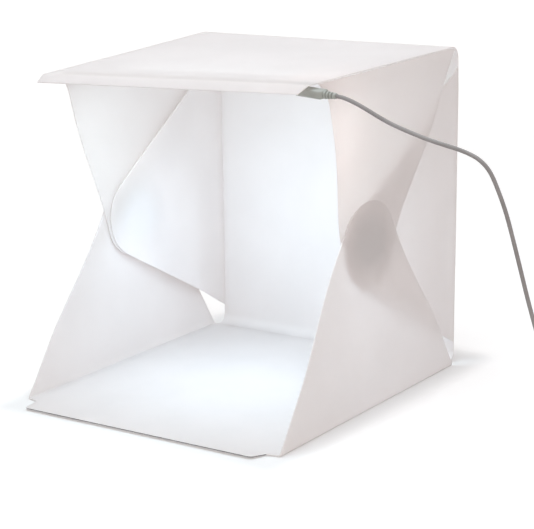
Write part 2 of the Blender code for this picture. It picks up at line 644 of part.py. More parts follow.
def coil_points(axis_along):
    """The coil's middle line: in on the lower layer, up a layer at the inside, and out on the upper one.
    It starts and ends with a straight run, and its last stretch comes down towards the far plug."""
    pitch, outer, low = coil_sizes()
    total = 2 * COIL_TURNS_A_LAYER + COIL_CLIMB_TURNS
    steps = round(total * COIL_POINTS_A_TURN)
    half = total / 2
    points = []
    for i in range(steps + 1):
        turns = total * i / steps
        angle = 2 * math.pi * turns - math.pi / 2
        inward = min(turns, total - turns)
        climb = min(max((turns - COIL_TURNS_A_LAYER) / COIL_CLIMB_TURNS, 0.0), 1.0)
        rise = (1 - math.cos(math.pi * climb)) / 2 * pitch
        radius = outer - pitch * inward
        points.append(Vector((COIL_AXIS + radius * math.cos(angle), axis_along + radius * math.sin(angle),
                              low + rise)))
    assert half > COIL_TURNS_A_LAYER
    first, last = points[0], points[-1]
    points.insert(0, first - Vector((CORD_DIAMETER, 0.0, 0.0)))
    drop = far_axis() - last.z
    for share in (0.25, 0.5, 0.75):
        ease = (1 - math.cos(math.pi * share)) / 2
        points.append(last + Vector((-COIL_TAIL * share, 0.0, drop * ease)))
    points.append(last + Vector((-COIL_TAIL, 0.0, drop)))
    points.append(last + Vector((-COIL_TAIL - CORD_DIAMETER, 0.0, drop)))
    return points


def least_gap(points):
    """The least clear space between stretches of the cord that aren't next to each other."""
    best = math.inf
    near = COIL_POINTS_A_TURN // 3
    fine = [p.lerp(q, k / 4) for p, q in zip(points, points[1:]) for k in range(4)]
    for i, p in enumerate(fine):
        for q in fine[i + 4 * near:]:
            best = min(best, (p - q).length)
    return best - CORD_DIAMETER


def far_axis():
    """The height of the far plug's middle line, as it lies on the floor."""
    return FLOOR_CLEARANCE + FAR_BODY_THICKNESS / 2


def lead(parent, start):
    """The free stretch, from the lamp plug down to the floor, and on to the coil."""
    pitch, outer, low = coil_sizes()
    first = start
    end = Vector((COIL_AXIS - CORD_DIAMETER - GAP, first.y, low))
    route = [first, *(Vector((p.x, first.y, p.z)) for p in CORD_ROUTE), end]
    points, length = smooth_route(route, CORD_POINT_STEP_SHARE * CORD_DIAMETER)
    tube("cord_lead", points, 2, parent, CORD_GREY)
    return first.y + outer, length


def cord_tie(parent, axis_along):
    """A band round the bundle, on the coil's side towards the tent."""
    pitch, outer, low = coil_sizes()
    widest = outer - pitch * 0.75
    narrowest = widest - pitch * (COIL_TURNS_A_LAYER - 1)
    half_cord = CORD_DIAMETER / 2 + TIE_CLEARANCE
    inner = (narrowest - half_cord, widest + half_cord, low - half_cord, low + pitch + half_cord)

    def loop(grow):
        left, right, bottom, top = (
            inner[0] - grow, inner[1] + grow, inner[2] - grow, inner[3] + grow,
        )
        round_off = half_cord + grow
        corners = (
            (right - round_off, bottom + round_off, -math.pi / 2),
            (right - round_off, top - round_off, 0.0),
            (left + round_off, top - round_off, math.pi / 2),
            (left + round_off, bottom + round_off, math.pi),
        )
        points = []
        for x, z, start in corners:
            points += arc((x, z), round_off, start, start + math.pi / 2, 4)
        return points

    bm = bmesh.new()
    rings = []
    for grow in (0.0, TIE_THICKNESS):
        for y in (-TIE_WIDTH / 2, TIE_WIDTH / 2):
            rings.append([bm.verts.new((COIL_AXIS - x, axis_along + y, z)) for x, z in loop(grow)])
    inner_front, inner_rear, outer_front, outer_rear = rings
    walls = ((inner_front, inner_rear), (inner_rear, outer_rear), (outer_rear, outer_front),
             (outer_front, inner_front))
    count = len(inner_front)
    for first, second in walls:
        for i in range(count):
            j = (i + 1) % count
            bm.faces.new((first[i], first[j], second[j], second[i]))
    piece("cord_tie", bm, parent, TIE_BLACK, smooth=True)


def far_plug(parent, end):
    """The plug on the far end, lying on the floor with its shell towards the tent."""
    height = end.z
    relief_start = Vector((end.x - GAP, end.y, height))
    profile = ribbed_profile(FAR_RELIEF_LENGTH, FAR_RELIEF_WIDE_DIAMETER, RELIEF_NARROW_DIAMETER,
                             RELIEF_RIBS, RELIEF_GROOVE)
    from_cord = [(FAR_RELIEF_LENGTH - along, radius) for along, radius in reversed(profile)]
    piece("far_plug_relief", turned(from_cord, relief_start, RELIEF_SIDES, -1), parent, PLUG_GREY,
          smooth=True)
    body_start = relief_start.x - FAR_RELIEF_LENGTH - GAP
    body = rounded_block((FAR_BODY_LENGTH, FAR_BODY_WIDTH, FAR_BODY_THICKNESS),
                         (body_start - FAR_BODY_LENGTH / 2, end.y, height), FAR_BODY_EDGE)
    piece("far_plug_body", body, parent, PLUG_GREY, smooth=True)
    shell_start = body_start - FAR_BODY_LENGTH - GAP
    shell = hollow_block((FAR_SHELL_LENGTH, FAR_SHELL_WIDTH, FAR_SHELL_THICKNESS),
                         (shell_start - FAR_SHELL_LENGTH / 2, end.y, height),
                         FAR_SHELL_WALL, FAR_SHELL_WALL, -1)
    piece("far_plug_shell", shell, parent, STEEL)
    insert_length = FAR_SHELL_LENGTH - FAR_SHELL_WALL - GAP - FAR_INSERT_SETBACK
    insert_width = FAR_SHELL_WIDTH - 2 * (FAR_SHELL_WALL + GAP)
    insert_height = height - FAR_SHELL_THICKNESS / 2 + FAR_SHELL_WALL + GAP + FAR_INSERT_THICKNESS / 2
    insert_start = shell_start - FAR_SHELL_WALL - GAP
    insert = block((insert_length, insert_width, FAR_INSERT_THICKNESS),
                   (insert_start - insert_length / 2, end.y, insert_height))
    piece("far_plug_insert", insert, parent, INSERT_BLACK)


def cord(base, tent, start):
    """The whole lead, in the tent's own frame: free stretch, coil, tie and far plug."""
    local_start = tent.matrix_world.inverted() @ start
    axis_along, free = lead(base, local_start)
    points = coil_points(axis_along)
    tube("cord_coil", points, 1, base, CORD_GREY)
    wound = sum((q - p).length for p, q in zip(points, points[1:]))
    print(f"coil: least gap to itself {least_gap(points) / MM:.2f} mm")
    print(f"cord: free {free:.4f} m, wound {wound:.4f} m, in all {free + wound:.4f} m")
    cord_tie(base, axis_along)
    far_plug(base, points[-1])


def say_axis(name, empty, direction):
    """Prints a joint's axis as the record states it."""
    world = empty.matrix_world
    along = (world.to_3x3() @ Vector(direction)).normalized()
    print(name, [round(v, 6) for v in world.translation], [round(v, 6) for v in along])


def main():
    clear_scene()
    tent = frame("tent_frame", None, (0.0, -OVERALL_DEPTH / 2, 0.0))
    back = frame("back_fold", tent, BACK_AXIS, (-BACK_LEAN, 0.0, 0.0))
    top = frame("top_fold", back, TOP_AXIS_IN_BACK, (BACK_LEAN + TOP_DROOP, 0.0, 0.0))
    base_panel(tent)
    back_panel(back)
    top_panel(top)
    front_lip(top)
    lamp_strip(top)
    sides = {}
    for side, label in ((-1, "left"), (1, "right")):
        sides[label] = side_folds(side, label, tent, back, top)
    bpy.context.view_layer.update()
    for side, label in ((-1, "left"), (1, "right")):
        side_flaps(side, label, sides[label], tent)
        side_pads(side, label, sides[label], tent)
    start = socket_and_plug(top)
    cord(tent, tent, start)
    say_axis("back_fold", back, (-1.0, 0.0, 0.0))
    say_axis("top_fold", top, (1.0, 0.0, 0.0))
    for side, label in ((-1, "left"), (1, "right")):
        say_axis(f"{label}_lower_fold", sides[label]["lower"], (0.0, side, 0.0))
        say_axis(f"{label}_upper_fold", sides[label]["upper"], (0.0, -side, 0.0))
        say_axis(f"{label}_rear_fold", sides[label]["rear"], (0.0, 0.0, -side))


main()
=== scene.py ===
"""Folding photo light tent, dressed for its photograph: white sheet, lamp strip, plug and lead.
Metres, +Z up, the open front at -Y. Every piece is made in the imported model's own frame."""

import json
from math import acos, atan2, copysign, cos, hypot, pi, radians, sin, tan

import bmesh
import bpy
from mathutils import Matrix, Vector, noise

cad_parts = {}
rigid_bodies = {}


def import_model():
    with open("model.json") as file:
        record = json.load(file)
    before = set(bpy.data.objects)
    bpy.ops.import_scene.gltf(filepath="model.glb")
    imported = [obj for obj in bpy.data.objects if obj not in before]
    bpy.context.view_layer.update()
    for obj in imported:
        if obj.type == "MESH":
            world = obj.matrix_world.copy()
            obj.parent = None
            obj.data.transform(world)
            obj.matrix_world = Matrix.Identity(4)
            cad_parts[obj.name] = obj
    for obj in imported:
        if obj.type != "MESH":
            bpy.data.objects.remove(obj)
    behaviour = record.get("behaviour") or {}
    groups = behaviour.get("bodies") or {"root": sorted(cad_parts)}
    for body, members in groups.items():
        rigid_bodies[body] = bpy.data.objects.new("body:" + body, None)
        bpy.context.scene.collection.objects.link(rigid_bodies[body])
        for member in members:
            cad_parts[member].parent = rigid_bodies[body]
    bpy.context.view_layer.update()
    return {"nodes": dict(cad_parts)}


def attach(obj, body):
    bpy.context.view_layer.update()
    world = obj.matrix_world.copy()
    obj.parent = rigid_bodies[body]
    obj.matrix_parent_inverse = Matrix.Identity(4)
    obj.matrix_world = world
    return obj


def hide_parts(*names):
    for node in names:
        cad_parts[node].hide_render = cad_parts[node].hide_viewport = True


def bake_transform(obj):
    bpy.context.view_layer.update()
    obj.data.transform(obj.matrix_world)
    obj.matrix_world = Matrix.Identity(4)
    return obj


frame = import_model()

MM = 0.001
FRONT = -0.12408  # where the tent's base starts, in the shared frame

# The folded sheet, as the solids have it
SHEET = 0.8 * MM
BEND_RADIUS = 8.0 * MM
BASE_DEPTH = 232.0 * MM
BACK_LEAN = radians(2.0)
TOP_DROOP = radians(1.5)
BACK_HEIGHT = 222.34 * MM
TOP_DEPTH = 180.6 * MM
LIP_WIDTH = 10.0 * MM
LIP_ANGLE = radians(25.0)
EDGE = 114.5 * MM  # the side folds of the base and the back
TOP_EDGE = 115.4 * MM
PADS_DEPTH = 135.76 * MM
PADS_HEIGHT = 116.0 * MM
TIP_RADIUS = 32.0 * MM
TOP_CREASE = 59.0 * MM

# The lead, as the solids have it
CORD_DIAMETER = 2.6 * MM
CORD_SIDES = 14
PLUG_FRAME = Matrix((
    (0.999048, 0, 0.043619, 0.09965),
    (0.001142, 0.999657, -0.026152, -0.057971),
    (-0.043604, 0.026177, 0.998706, 0.229807),
    (0, 0, 0, 1),
))
CORD_START = 34.05 * MM  # along the plug's own middle line
CORD_ROUTE = (
    (139.5, 227.4), (147.8, 224.6), (156.6, 220.8), (165.4, 216.7), (174.1, 213.1), (187.0, 208.9),
    (199.8, 205.3), (212.4, 202.5), (221.0, 200.7), (228.6, 198.5), (234.6, 195.9), (239.9, 191.8),
    (243.9, 186.4), (247.9, 177.9), (251.7, 168.4), (255.2, 157.5), (261.3, 135.0), (267.8, 110.5),
    (275.2, 86.0), (284.0, 61.0), (294.5, 38.0), (307.0, 20.0), (321.0, 8.0), (332.0, 3.4),
)
CORD_SPLIT = 157.5 * MM  # the height at which its two lengths meet in the scene
COIL_AXIS = 345.0 * MM
COIL_DIAMETER = 41.6 * MM
COIL_TURNS_A_LAYER = 3
COIL_CLIMB_TURNS = 0.5
COIL_POINTS_A_TURN = 48
COIL_PITCH = 3.2 * MM
COIL_LOW = 2.6 * MM
COIL_TAIL = 16.0 * MM
FAR_AXIS = 4.1 * MM

SIDES = (("left", -1), ("right", 1))
ACROSS, REARWARD, UPWARD = Vector((1, 0, 0)), Vector((0, 1, 0)), Vector((0, 0, 1))


# Small helpers

def collection():
    return bpy.context.scene.collection.objects


def tent(across, behind, up):
    """A point given across, behind the base's front edge and above the floor, in the shared frame."""
    return Vector((across, FRONT + behind, up))


def mm(*values):
    """Lengths given in millimetres."""
    return tuple(value * MM for value in values)


def clamped(value, low=0.0):
    return min(max(value, low), 1.0)


def within(value, start=0.0, reach=1.0):
    """0 up to the start, and from there evenly up to 1 over the reach."""
    return clamped((value - start) / reach)


def eased(*place):
    """The same, but smoothly."""
    t = within(*place)
    return t * t * (3 - 2 * t)


def made(name, bm, looks, angle=35.0):
    """The mesh as a smooth piece at the origin, sharp only where it turns by more than the angle."""
    mesh = bpy.data.meshes.new(name)
    bm.to_mesh(mesh)
    bm.free()
    mesh.shade_smooth()
    mesh.set_sharp_from_angle(angle=radians(angle))
    for look in looks if isinstance(looks, list) else [looks]:
        mesh.materials.append(look)
    piece = bpy.data.objects.new(name, mesh)
    collection().link(piece)
    return piece


def applied(piece):
    """Works the piece's modifiers into its mesh."""
    bpy.context.view_layer.update()
    graph = bpy.context.evaluated_depsgraph_get()
    final = bpy.data.meshes.new_from_object(piece.evaluated_get(graph))
    piece.modifiers.clear()
    piece.data = final
    final.name = piece.name


def rigid(name, bm, looks, body, nodes):
    """A piece that rides on one body, for the solids that it stands for."""
    piece = made(name, bm, looks)
    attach(piece, body)
    if nodes:
        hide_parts(*nodes)
    return piece


# The camera stands where the photograph was taken from

CAMERA_YAW = radians(37.85)
CAMERA_PITCH = radians(14.51)
CAMERA_ROLL = radians(-2.87)
CAMERA_PLACE = (0.708, -0.7529 + FRONT, 0.3801)
CAMERA_LENS = 1600.0 / 534  # its length in picture widths
SENSOR_WIDTH = 36.0


def photo_camera():
    forward = Vector((-sin(CAMERA_YAW) * cos(CAMERA_PITCH), cos(CAMERA_YAW) * cos(CAMERA_PITCH),
                      -sin(CAMERA_PITCH)))
    level = Vector((cos(CAMERA_YAW), sin(CAMERA_YAW), 0))
    upright = level.cross(forward)
    right = cos(CAMERA_ROLL) * level + sin(CAMERA_ROLL) * upright
    up = -sin(CAMERA_ROLL) * level + cos(CAMERA_ROLL) * upright
    data = bpy.data.cameras.new("photo_camera")
    data.sensor_width = SENSOR_WIDTH
    data.lens = CAMERA_LENS * SENSOR_WIDTH
    data.clip_start = 0.01
    camera = bpy.data.objects.new("photo_camera", data)
    collection().link(camera)
    stand = Matrix((right, up, -forward)).transposed().to_4x4()
    stand.translation = CAMERA_PLACE
    camera.matrix_world = stand
    bpy.context.scene.camera = camera


photo_camera()


# Finishes

class Nodes:
    """Places nodes in one tree, and links them by name."""

    def __init__(self, tree):
        self.tree = tree
        tree.nodes.clear()

    def feed(self, socket, value):
        """Links what comes out of another node to a socket, or sets the socket's value."""
        if isinstance(value, bpy.types.NodeSocket):
            self.tree.links.new(value, socket)
        else:
            socket.default_value = value

    def add(self, kind, inputs=None, **settings):
        node = self.tree.nodes.new(kind if kind.startswith("Node") else f"ShaderNode{kind}")
        for key, value in settings.items():
            setattr(node, key, value)
        for key, value in (inputs or {}).items():
            self.feed(node.inputs[key], value)
        return node

    def mix(self, share, first, second, blend="MIX"):
        """A colour between two, or the second one laid over the first."""
        return self.add("Mix", {0: share, 6: first, 7: second}, data_type="RGBA",
                        blend_type=blend).outputs[2]

    def ramp(self, value, low, high, to_low=0.0, to_high=1.0):
        """A value carried smoothly from one range to another."""
        return self.add("MapRange", {
            "Value": value, "From Min": low, "From Max": high, "To Min": to_low, "To Max": to_high,
        }, interpolation_type="SMOOTHSTEP").outputs[0]

    def calc(self, operation, first, second=0.0):
        """One step of arithmetic on values."""
        return self.add("Math", {0: first, 1: second}, operation=operation).outputs[0]

    def bump(self, height, strength, depth):
        return self.add("Bump", {"Height": height, "Strength": strength, "Distance": depth}).outputs[0]


def group(name, inputs, outputs):
    """A node group: the tree, its nodes, what comes in and what goes out. An input given as a tuple is a
    vector, and all others are plain values."""
    tree = bpy.data.node_groups.new(name, "ShaderNodeTree")
    for label, value in inputs.items():
        kind = "NodeSocketVector" if isinstance(value, tuple) else "NodeSocketFloat"
        tree.interface.new_socket(name=label, in_out="INPUT", socket_type=kind).default_value = value
    for label in outputs:
        tree.interface.new_socket(name=label, in_out="OUTPUT", socket_type="NodeSocketFloat")
    nodes = Nodes(tree)
    return tree, nodes, nodes.add("NodeGroupInput").outputs, nodes.add("NodeGroupOutput").inputs


def grain_group():
    """Cloudy mottling and a fine grain, for anything moulded, rolled or coated."""
    tree, nodes, given, out = group("Mottle and Grain", {
        "Vector": (0.0, 0.0, 0.0), "Mottle Scale": 30.0, "Grain Scale": 1500.0, "Streak": (1.0, 1.0, 1.0),
    }, ("Mottle", "Grain"))
    cloud = nodes.add("TexNoise", {
        "Vector": given["Vector"], "Scale": given["Mottle Scale"], "Detail": 3.0, "Roughness": 0.5,
    })
    stretched = nodes.add("VectorMath", {0: given["Vector"], 1: given["Streak"]}, operation="MULTIPLY")
    fine = nodes.add("TexNoise", {
        "Vector": stretched.outputs[0], "Scale": given["Grain Scale"], "Detail": 2.0, "Roughness": 0.6,
    })
    nodes.feed(out["Mottle"], nodes.ramp(cloud.outputs[0], 0.3, 0.7))
    nodes.feed(out["Grain"], fine.outputs[0])
    return tree


def scuff_group():
    """Sparse short scratches and handling marks: a mask that is mostly zero."""
    tree, nodes, given, out = group("Handling Marks", {
        "Vector": (0.0, 0.0, 0.0), "Scale": 120.0, "Amount": 0.3,
    }, ("Marks",))
    bent = nodes.add("TexNoise", {
        "Vector": given["Vector"], "Scale": given["Scale"], "Detail": 5.0, "Roughness": 0.65,
        "Distortion": 1.6,
    })
    patches = nodes.add("TexNoise", {
        "Vector": given["Vector"], "Scale": nodes.calc("MULTIPLY", given["Scale"], 0.12), "Detail": 1.0,
    })
    off_line = nodes.calc("ABSOLUTE", nodes.calc("SUBTRACT", bent.outputs[0], 0.5))
    thin = nodes.ramp(off_line, 0.0, 0.02, 1.0, 0.0)
    there = nodes.ramp(patches.outputs[0], 0.52, 0.68)
    nodes.feed(out["Marks"], nodes.calc(
        "MULTIPLY", nodes.calc("MULTIPLY", thin, there), given["Amount"]))
    return tree


GRAIN = grain_group()
SCUFFS = scuff_group()


def rgb(*values):
    return (*values, 1.0)


def finish(name, light, dark, roughness, metallic=0.0, mottle=60.0, grain=1500.0, depth=0.02 * MM,
           streak=(1.0, 1.0, 1.0), scuffs=0.2, specular=0.5, rough_change=0.12, extra=None):
    """A solid finish whose colour and roughness drift a little, with a fine grain and a few marks."""
    look = bpy.data.materials.new(name)
    look.use_nodes = True
    nodes = Nodes(look.node_tree)
    where = nodes.add("TexCoord").outputs["Object"]
    grained = nodes.add("Group", {
        "Vector": where, "Mottle Scale": mottle, "Grain Scale": grain, "Streak": streak,
    }, node_tree=GRAIN)
    marks = nodes.add("Group", {
        "Vector": where, "Scale": mottle * 4, "Amount": scuffs,
    }, node_tree=SCUFFS).outputs["Marks"]
    drift = nodes.mix(grained.outputs["Mottle"], rgb(*light), rgb(*dark))
    worn = nodes.mix(marks, drift, rgb(*(0.6 * c + 0.25 for c in light)))
    uneven = nodes.ramp(grained.outputs["Mottle"], 0.0, 1.0, roughness, roughness + rough_change)
    shader = nodes.add("BsdfPrincipled", {
        "Base Color": worn, "Roughness": nodes.calc("ADD", uneven, nodes.calc("MULTIPLY", marks, 0.2)),
        "Metallic": metallic, "Specular IOR Level": specular,
        "Normal": nodes.bump(grained.outputs["Grain"], 0.6, depth),
    })
    out = nodes.add("OutputMaterial", {"Surface": shader.outputs[0]})
    if extra is not None:
        extra(nodes, shader, where, worn, out)
    return look


def letting_light_through(share, inner_tint):
    """Makes a finish a sheet that light passes through. A fold's stretched plastic is a little whiter."""

    def change(nodes, shader, where, worn, out):
        fold = nodes.add("Attribute", attribute_name="fold").outputs["Fac"]
        whiter = nodes.mix(nodes.calc("MULTIPLY", fold, 0.5), worn, rgb(0.97, 0.97, 0.97))
        nodes.feed(shader.inputs["Base Color"], whiter)
        tinted = nodes.mix(1.0, whiter, rgb(*inner_tint), "MULTIPLY")
        behind = nodes.add("BsdfTranslucent", {"Color": tinted})
        both = nodes.add("MixShader", {0: share, 1: shader.outputs[0], 2: behind.outputs[0]})
        nodes.feed(out.inputs["Surface"], both.outputs[0])

    return change


def glowing(colour, strength):
    """Light that the finish gives off."""

    def change(nodes, shader, where, worn, out):
        shader.inputs["Emission Color"].default_value = rgb(*colour)
        shader.inputs["Emission Strength"].default_value = strength

    return change


def looped(scale, depth):
    """The tiny loops or hooks of a fastening pad, in rows, with painted shade in the gaps between them."""

    def change(nodes, shader, where, worn, out):
        cells = nodes.add("TexVoronoi", {"Vector": where, "Scale": scale, "Randomness": 0.55})
        # Darker between the loops, where the bump sinks: painted shade.
        shaded_gaps = nodes.ramp(cells.outputs["Distance"], 0.1, 0.6)
        nodes.feed(shader.inputs["Base Color"], nodes.mix(shaded_gaps, worn, rgb(0.55, 0.55, 0.55)))
        height = nodes.ramp(cells.outputs["Distance"], 0.0, 0.7, 1.0, 0.0)
        nodes.feed(shader.inputs["Normal"], nodes.bump(height, 0.9, depth))

    return change


def woven(scale, depth):
    """Crossed threads, for the tie."""

    def change(nodes, shader, where, worn, out):
        rows = nodes.add("TexWave", {"Vector": where, "Scale": scale}, bands_direction="Y")
        columns = nodes.add("TexWave", {"Vector": where, "Scale": scale}, bands_direction="X")
        height = nodes.calc("MAXIMUM", rows.outputs["Fac"], columns.outputs["Fac"])
        nodes.feed(shader.inputs["Normal"], nodes.bump(height, 0.8, depth))

    return change


WHITE_SHEET = finish("white_sheet", (0.935, 0.935, 0.94), (0.915, 0.914, 0.918), 0.42, mottle=22.0,
                     grain=1400.0, depth=0.015 * MM, streak=(1.0, 0.35, 0.35), scuffs=0.05, specular=0.4,
                     extra=letting_light_through(0.5, (1.0, 0.95, 0.925)))
# The base's front rim in dark grey: painted shade, standing in for the shadow in the gap under the tab's
# raised front edge.
SHADED_FRONT_RIM = finish("painted_shade_rim", (0.27, 0.27, 0.275), (0.22, 0.22, 0.22), 0.6, scuffs=0.1)
HOOK_PAD = finish("hook_pad", (0.80, 0.80, 0.80), (0.74, 0.74, 0.74), 0.7, scuffs=0.0,
                  extra=looped(1100.0, 0.25 * MM))
LOOP_PAD = finish("loop_pad", (0.84, 0.84, 0.84), (0.78, 0.78, 0.78), 0.9, scuffs=0.0,
                  extra=looped(2200.0, 0.15 * MM))
TAPE = finish("strip_tape", (0.86, 0.86, 0.82), (0.80, 0.80, 0.76), 0.6)
BOARD = finish("board_white", (0.90, 0.90, 0.88), (0.85, 0.86, 0.83), 0.35, grain=2500.0,
               depth=0.01 * MM)
COPPER = finish("solder_pads", (0.80, 0.78, 0.72), (0.70, 0.66, 0.58), 0.3, metallic=1.0)
LAMP_CASE = finish("lamp_case", (0.93, 0.93, 0.91), (0.88, 0.88, 0.86), 0.4)
LAMP_GEL = finish("lamp_gel", (0.96, 0.86, 0.42), (0.94, 0.82, 0.36), 0.25, scuffs=0.0,
                  extra=glowing((0.95, 0.97, 1.0), 2.5))
RESISTOR = finish("resistor_black", (0.05, 0.05, 0.05), (0.03, 0.03, 0.03), 0.45)
STEEL = finish("plated_steel", (0.72, 0.73, 0.74), (0.60, 0.61, 0.62), 0.24, metallic=1.0, mottle=90.0,
               grain=2600.0, depth=0.008 * MM, streak=(0.15, 1.0, 1.0), scuffs=0.35)
PLUG_GREY = finish("plug_grey", (0.43, 0.45, 0.42), (0.35, 0.37, 0.34), 0.42, grain=2200.0,
                   depth=0.02 * MM, scuffs=0.25)
CORD_GREY = finish("cord_grey", (0.30, 0.29, 0.285), (0.25, 0.24, 0.235), 0.45, mottle=45.0,
                   grain=1600.0, depth=0.015 * MM, scuffs=0.2)
TIE_BLACK = finish("tie_black", (0.05, 0.05, 0.055), (0.03, 0.03, 0.03), 0.85, scuffs=0.05,
                   extra=woven(520.0, 0.15 * MM))
INSERT_BLACK = finish("insert_black", (0.05, 0.05, 0.05), (0.03, 0.03, 0.03), 0.4)
GOLD = finish("contact_gold", (0.86, 0.66, 0.32), (0.76, 0.56, 0.26), 0.22, metallic=1.0)


# The lead: one cable, in two lengths that meet in mid air

def route_length(points):
    return sum((q - p).length for p, q in zip(points, points[1:]))


def smooth_route(points, step):
    """Points a step apart on one smooth curve through the route's own points."""
    padded = [2 * points[0] - points[1], *points, 2 * points[-1] - points[-2]]
    fine = []
    for a, b, c, d in zip(padded, padded[1:], padded[2:], padded[3:]):
        for i in range(20):
            t = i / 20
            fine.append(0.5 * (2 * b + (c - a) * t + (2 * a - 5 * b + 4 * c - d) * t**2
                               + (3 * b - a - 3 * c + d) * t**3))
    fine.append(points[-1])
    total = route_length(fine)
    count = max(2, round(total / step))
    spaced, travelled, target = [fine[0]], 0, total / count
    for p, q in zip(fine, fine[1:]):
        length = (q - p).length
        while travelled + length >= target and len(spaced) < count:
            spaced.append(p.lerp(q, (target - travelled) / length))
            target += total / count
        travelled += length
    spaced.append(fine[-1])
    return spaced


def coil_route(along):
    """In on the lower layer, up a layer at the inside, out on the upper one, and down to the far plug."""
    outer = COIL_DIAMETER / 2
    total = 2 * COIL_TURNS_A_LAYER + COIL_CLIMB_TURNS
    steps = round(total * COIL_POINTS_A_TURN)
    points = []
    for i in range(steps + 1):
        turns = total * i / steps
        angle = 2 * pi * turns - pi / 2
        climb = within(turns, COIL_TURNS_A_LAYER, COIL_CLIMB_TURNS)
        rise = (1 - cos(pi * climb)) / 2 * COIL_PITCH
        radius = outer - COIL_PITCH * min(turns, total - turns)
        points.append(Vector((COIL_AXIS + radius * cos(angle), along + outer + radius * sin(angle),
                              COIL_LOW + rise)))
    first, last = points[0], points[-1]
    points.insert(0, first - CORD_DIAMETER * ACROSS)
    drop = FAR_AXIS - last.z
    for i in range(1, 9):
        ease = (1 - cos(pi * i / 8)) / 2
        points.append(last + Vector((-COIL_TAIL * i / 8, 0, drop * ease)))
    points.append(last + Vector((-COIL_TAIL - CORD_DIAMETER, 0, drop)))
    return points


def cable(name, points, look):
    """A round cable along the points: a ring of corners carried from point to point."""
    bm = bmesh.new()
    rings = []
    normal = REARWARD
    for i, point in enumerate(points):
        ahead = points[min(i + 1, len(points) - 1)] - points[max(i - 1, 0)]
        ahead.normalize()
        normal = (normal - ahead * normal.dot(ahead)).normalized()
        side = ahead.cross(normal)
        turn = Matrix((normal, side, ahead)).transposed().to_4x4()
        turn.translation = point
        rings.append(bmesh.ops.create_circle(
            bm, segments=CORD_SIDES, radius=CORD_DIAMETER / 2, matrix=turn)["verts"])
    for ring in (rings[0], rings[-1]):
        bm.faces.new(ring)
    rims = [{e for v in ring for e in v.link_edges if e.other_vert(v) in set(ring)} for ring in rings]
    for first, second in zip(rims, rims[1:]):
        bmesh.ops.bridge_loops(bm, edges=list(first | second))
    bmesh.ops.recalc_face_normals(bm, faces=bm.faces)
    return made(name, bm, look, 60.0)


cord_exit = PLUG_FRAME @ (CORD_START * ACROSS)
coil = coil_route(cord_exit.y)
free = smooth_route(
    [cord_exit, *(Vector((x * MM, cord_exit.y, z * MM)) for x, z in CORD_ROUTE), coil[0]], 2.0 * MM)
meet = min(range(len(free)), key=lambda i: abs(free[i].z - CORD_SPLIT))
upper_route = free[:meet + 1]
lower_route = free[meet:] + coil[1:]
cord_upper = cable("lead_upper", upper_route, CORD_GREY)
cord_lower = cable("lead_lower", lower_route, CORD_GREY)


def declared_cords(far_pieces):
    """Hides the lead's solids, which the upper and the lower length stand for, and bakes the two lengths'
    places into their meshes. The lower length ends in the coil that lies on the floor."""
    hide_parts("cord_lead")
    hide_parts("cord_coil")
    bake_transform(cord_upper)
    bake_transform(cord_lower)


# The sheet. Each part of it is a grid that is trimmed, rolled at its folds and given its thickness

CREASE = 1.0 * MM  # the radius of a side fold
CELL = 8.0 * MM
FOLD_FRONT = 14.5 * MM  # where the lower flaps' folds start and end
FOLD_REAR = 230.0 * MM
TAB_LENGTH = 12.5 * MM
TAB_FRONT = 100.2 * MM  # half the front tab's width, at its front and at its rear
TAB_REAR = 104.8 * MM
TAB_RADIUS = 4.0 * MM
TAB_SKEW = 0.028  # the front edge isn't quite square
TAB_LIFT = 1.1 * MM  # nor quite down on the floor
BACK_EDGE = 110.5 * MM
LIP_CORNER = 1.6 * MM
RACK = 4.1 * MM  # how far the back's head stands to the right of its foot
RACK_RANGE = mm(16, 190)  # a range is where something starts, and how far it runs
TWIST_RANGE = mm(125, 107)  # the upper part is twisted, from this height up
TWIST_DEPTH = 189 * MM
TWIST_FRONT = mm(-0.25, 1.45)  # how high an edge stands at its middle, and how much more at its right end
TWIST_REAR = mm(0.5, -2.5)
SPREAD = 1.8 * MM  # how much wider the top's front edge is, at each end
SPREAD_RANGE = mm(104, 11)
PADS_PLANE = 108.6 * MM  # the outermost layer at the pads: the sides are pinched in there
PADS_TILT = 0.035
PINCHED_LAYER = 2.4 * MM  # from layer to layer at the pads, and where they touch round them
TOUCHING_LAYER = 1.4 * MM
TOUCHING_RANGE = mm(1.5, 9)
PAD_RADIUS = 17.0 * MM
PAD_THICKNESS = 0.68 * MM
LOWER_REACH = 144.6 * MM
LOWER_TIP = mm(133.76, 112.6)  # a tip's centre: along its fold, and away from it
UPPER_TIP = mm(133.76, 121.9)
REAR_TIP = mm(114.0, 105.9)
UPPER_TIP_RADIUS = 30 * MM
UPPER_FRONT = 80 * MM  # where the upper flaps' folds start and end, and how their edges slant
UPPER_REAR = 238.5 * MM
UPPER_FRONT_SLANT = (133.76 - 30.0 - 80.0) / 116.0
UPPER_REAR_SLANT = 0.645
UPPER_FLARE = 8.0 * MM
UPPER_REAR_FLARE = 4.0 * MM
LOWER_LEAN = mm(35, 80)  # where a flap leans in to the pads: from its foot up, and below the top
UPPER_LEAN = mm(198, 76)
REAR_CURVE = 45 * MM
RIPPLE = 0.8 * MM  # how uneven the panels and the flaps are, and where they are free to be
FLAP_RIPPLE = 0.7 * MM
BACK_FREE = 60 * MM
TOP_FREE = 50 * MM
LOWER_FREE = mm(8, 30)
FLAP_FREE = mm(30, 30)
PADS_FREE = mm(20, 30)
REAR_FOOT = 15.1 * MM  # where the rear flaps' folds start and end
REAR_HEAD = 223.2 * MM


def flat_grid(width, depth, centred=True):
    """A flat grid in X and Y, from Y zero on, centred across or from X zero on."""
    bm = bmesh.new()
    shift = Matrix.Translation((0 if centred else 0.5, 0.5, 0))
    bmesh.ops.create_grid(bm, x_segments=round(width / CELL), y_segments=round(depth / CELL), size=0.5,
                          matrix=shift)
    bmesh.ops.scale(bm, vec=(width, depth, 1.0), verts=bm.verts)
    return bm


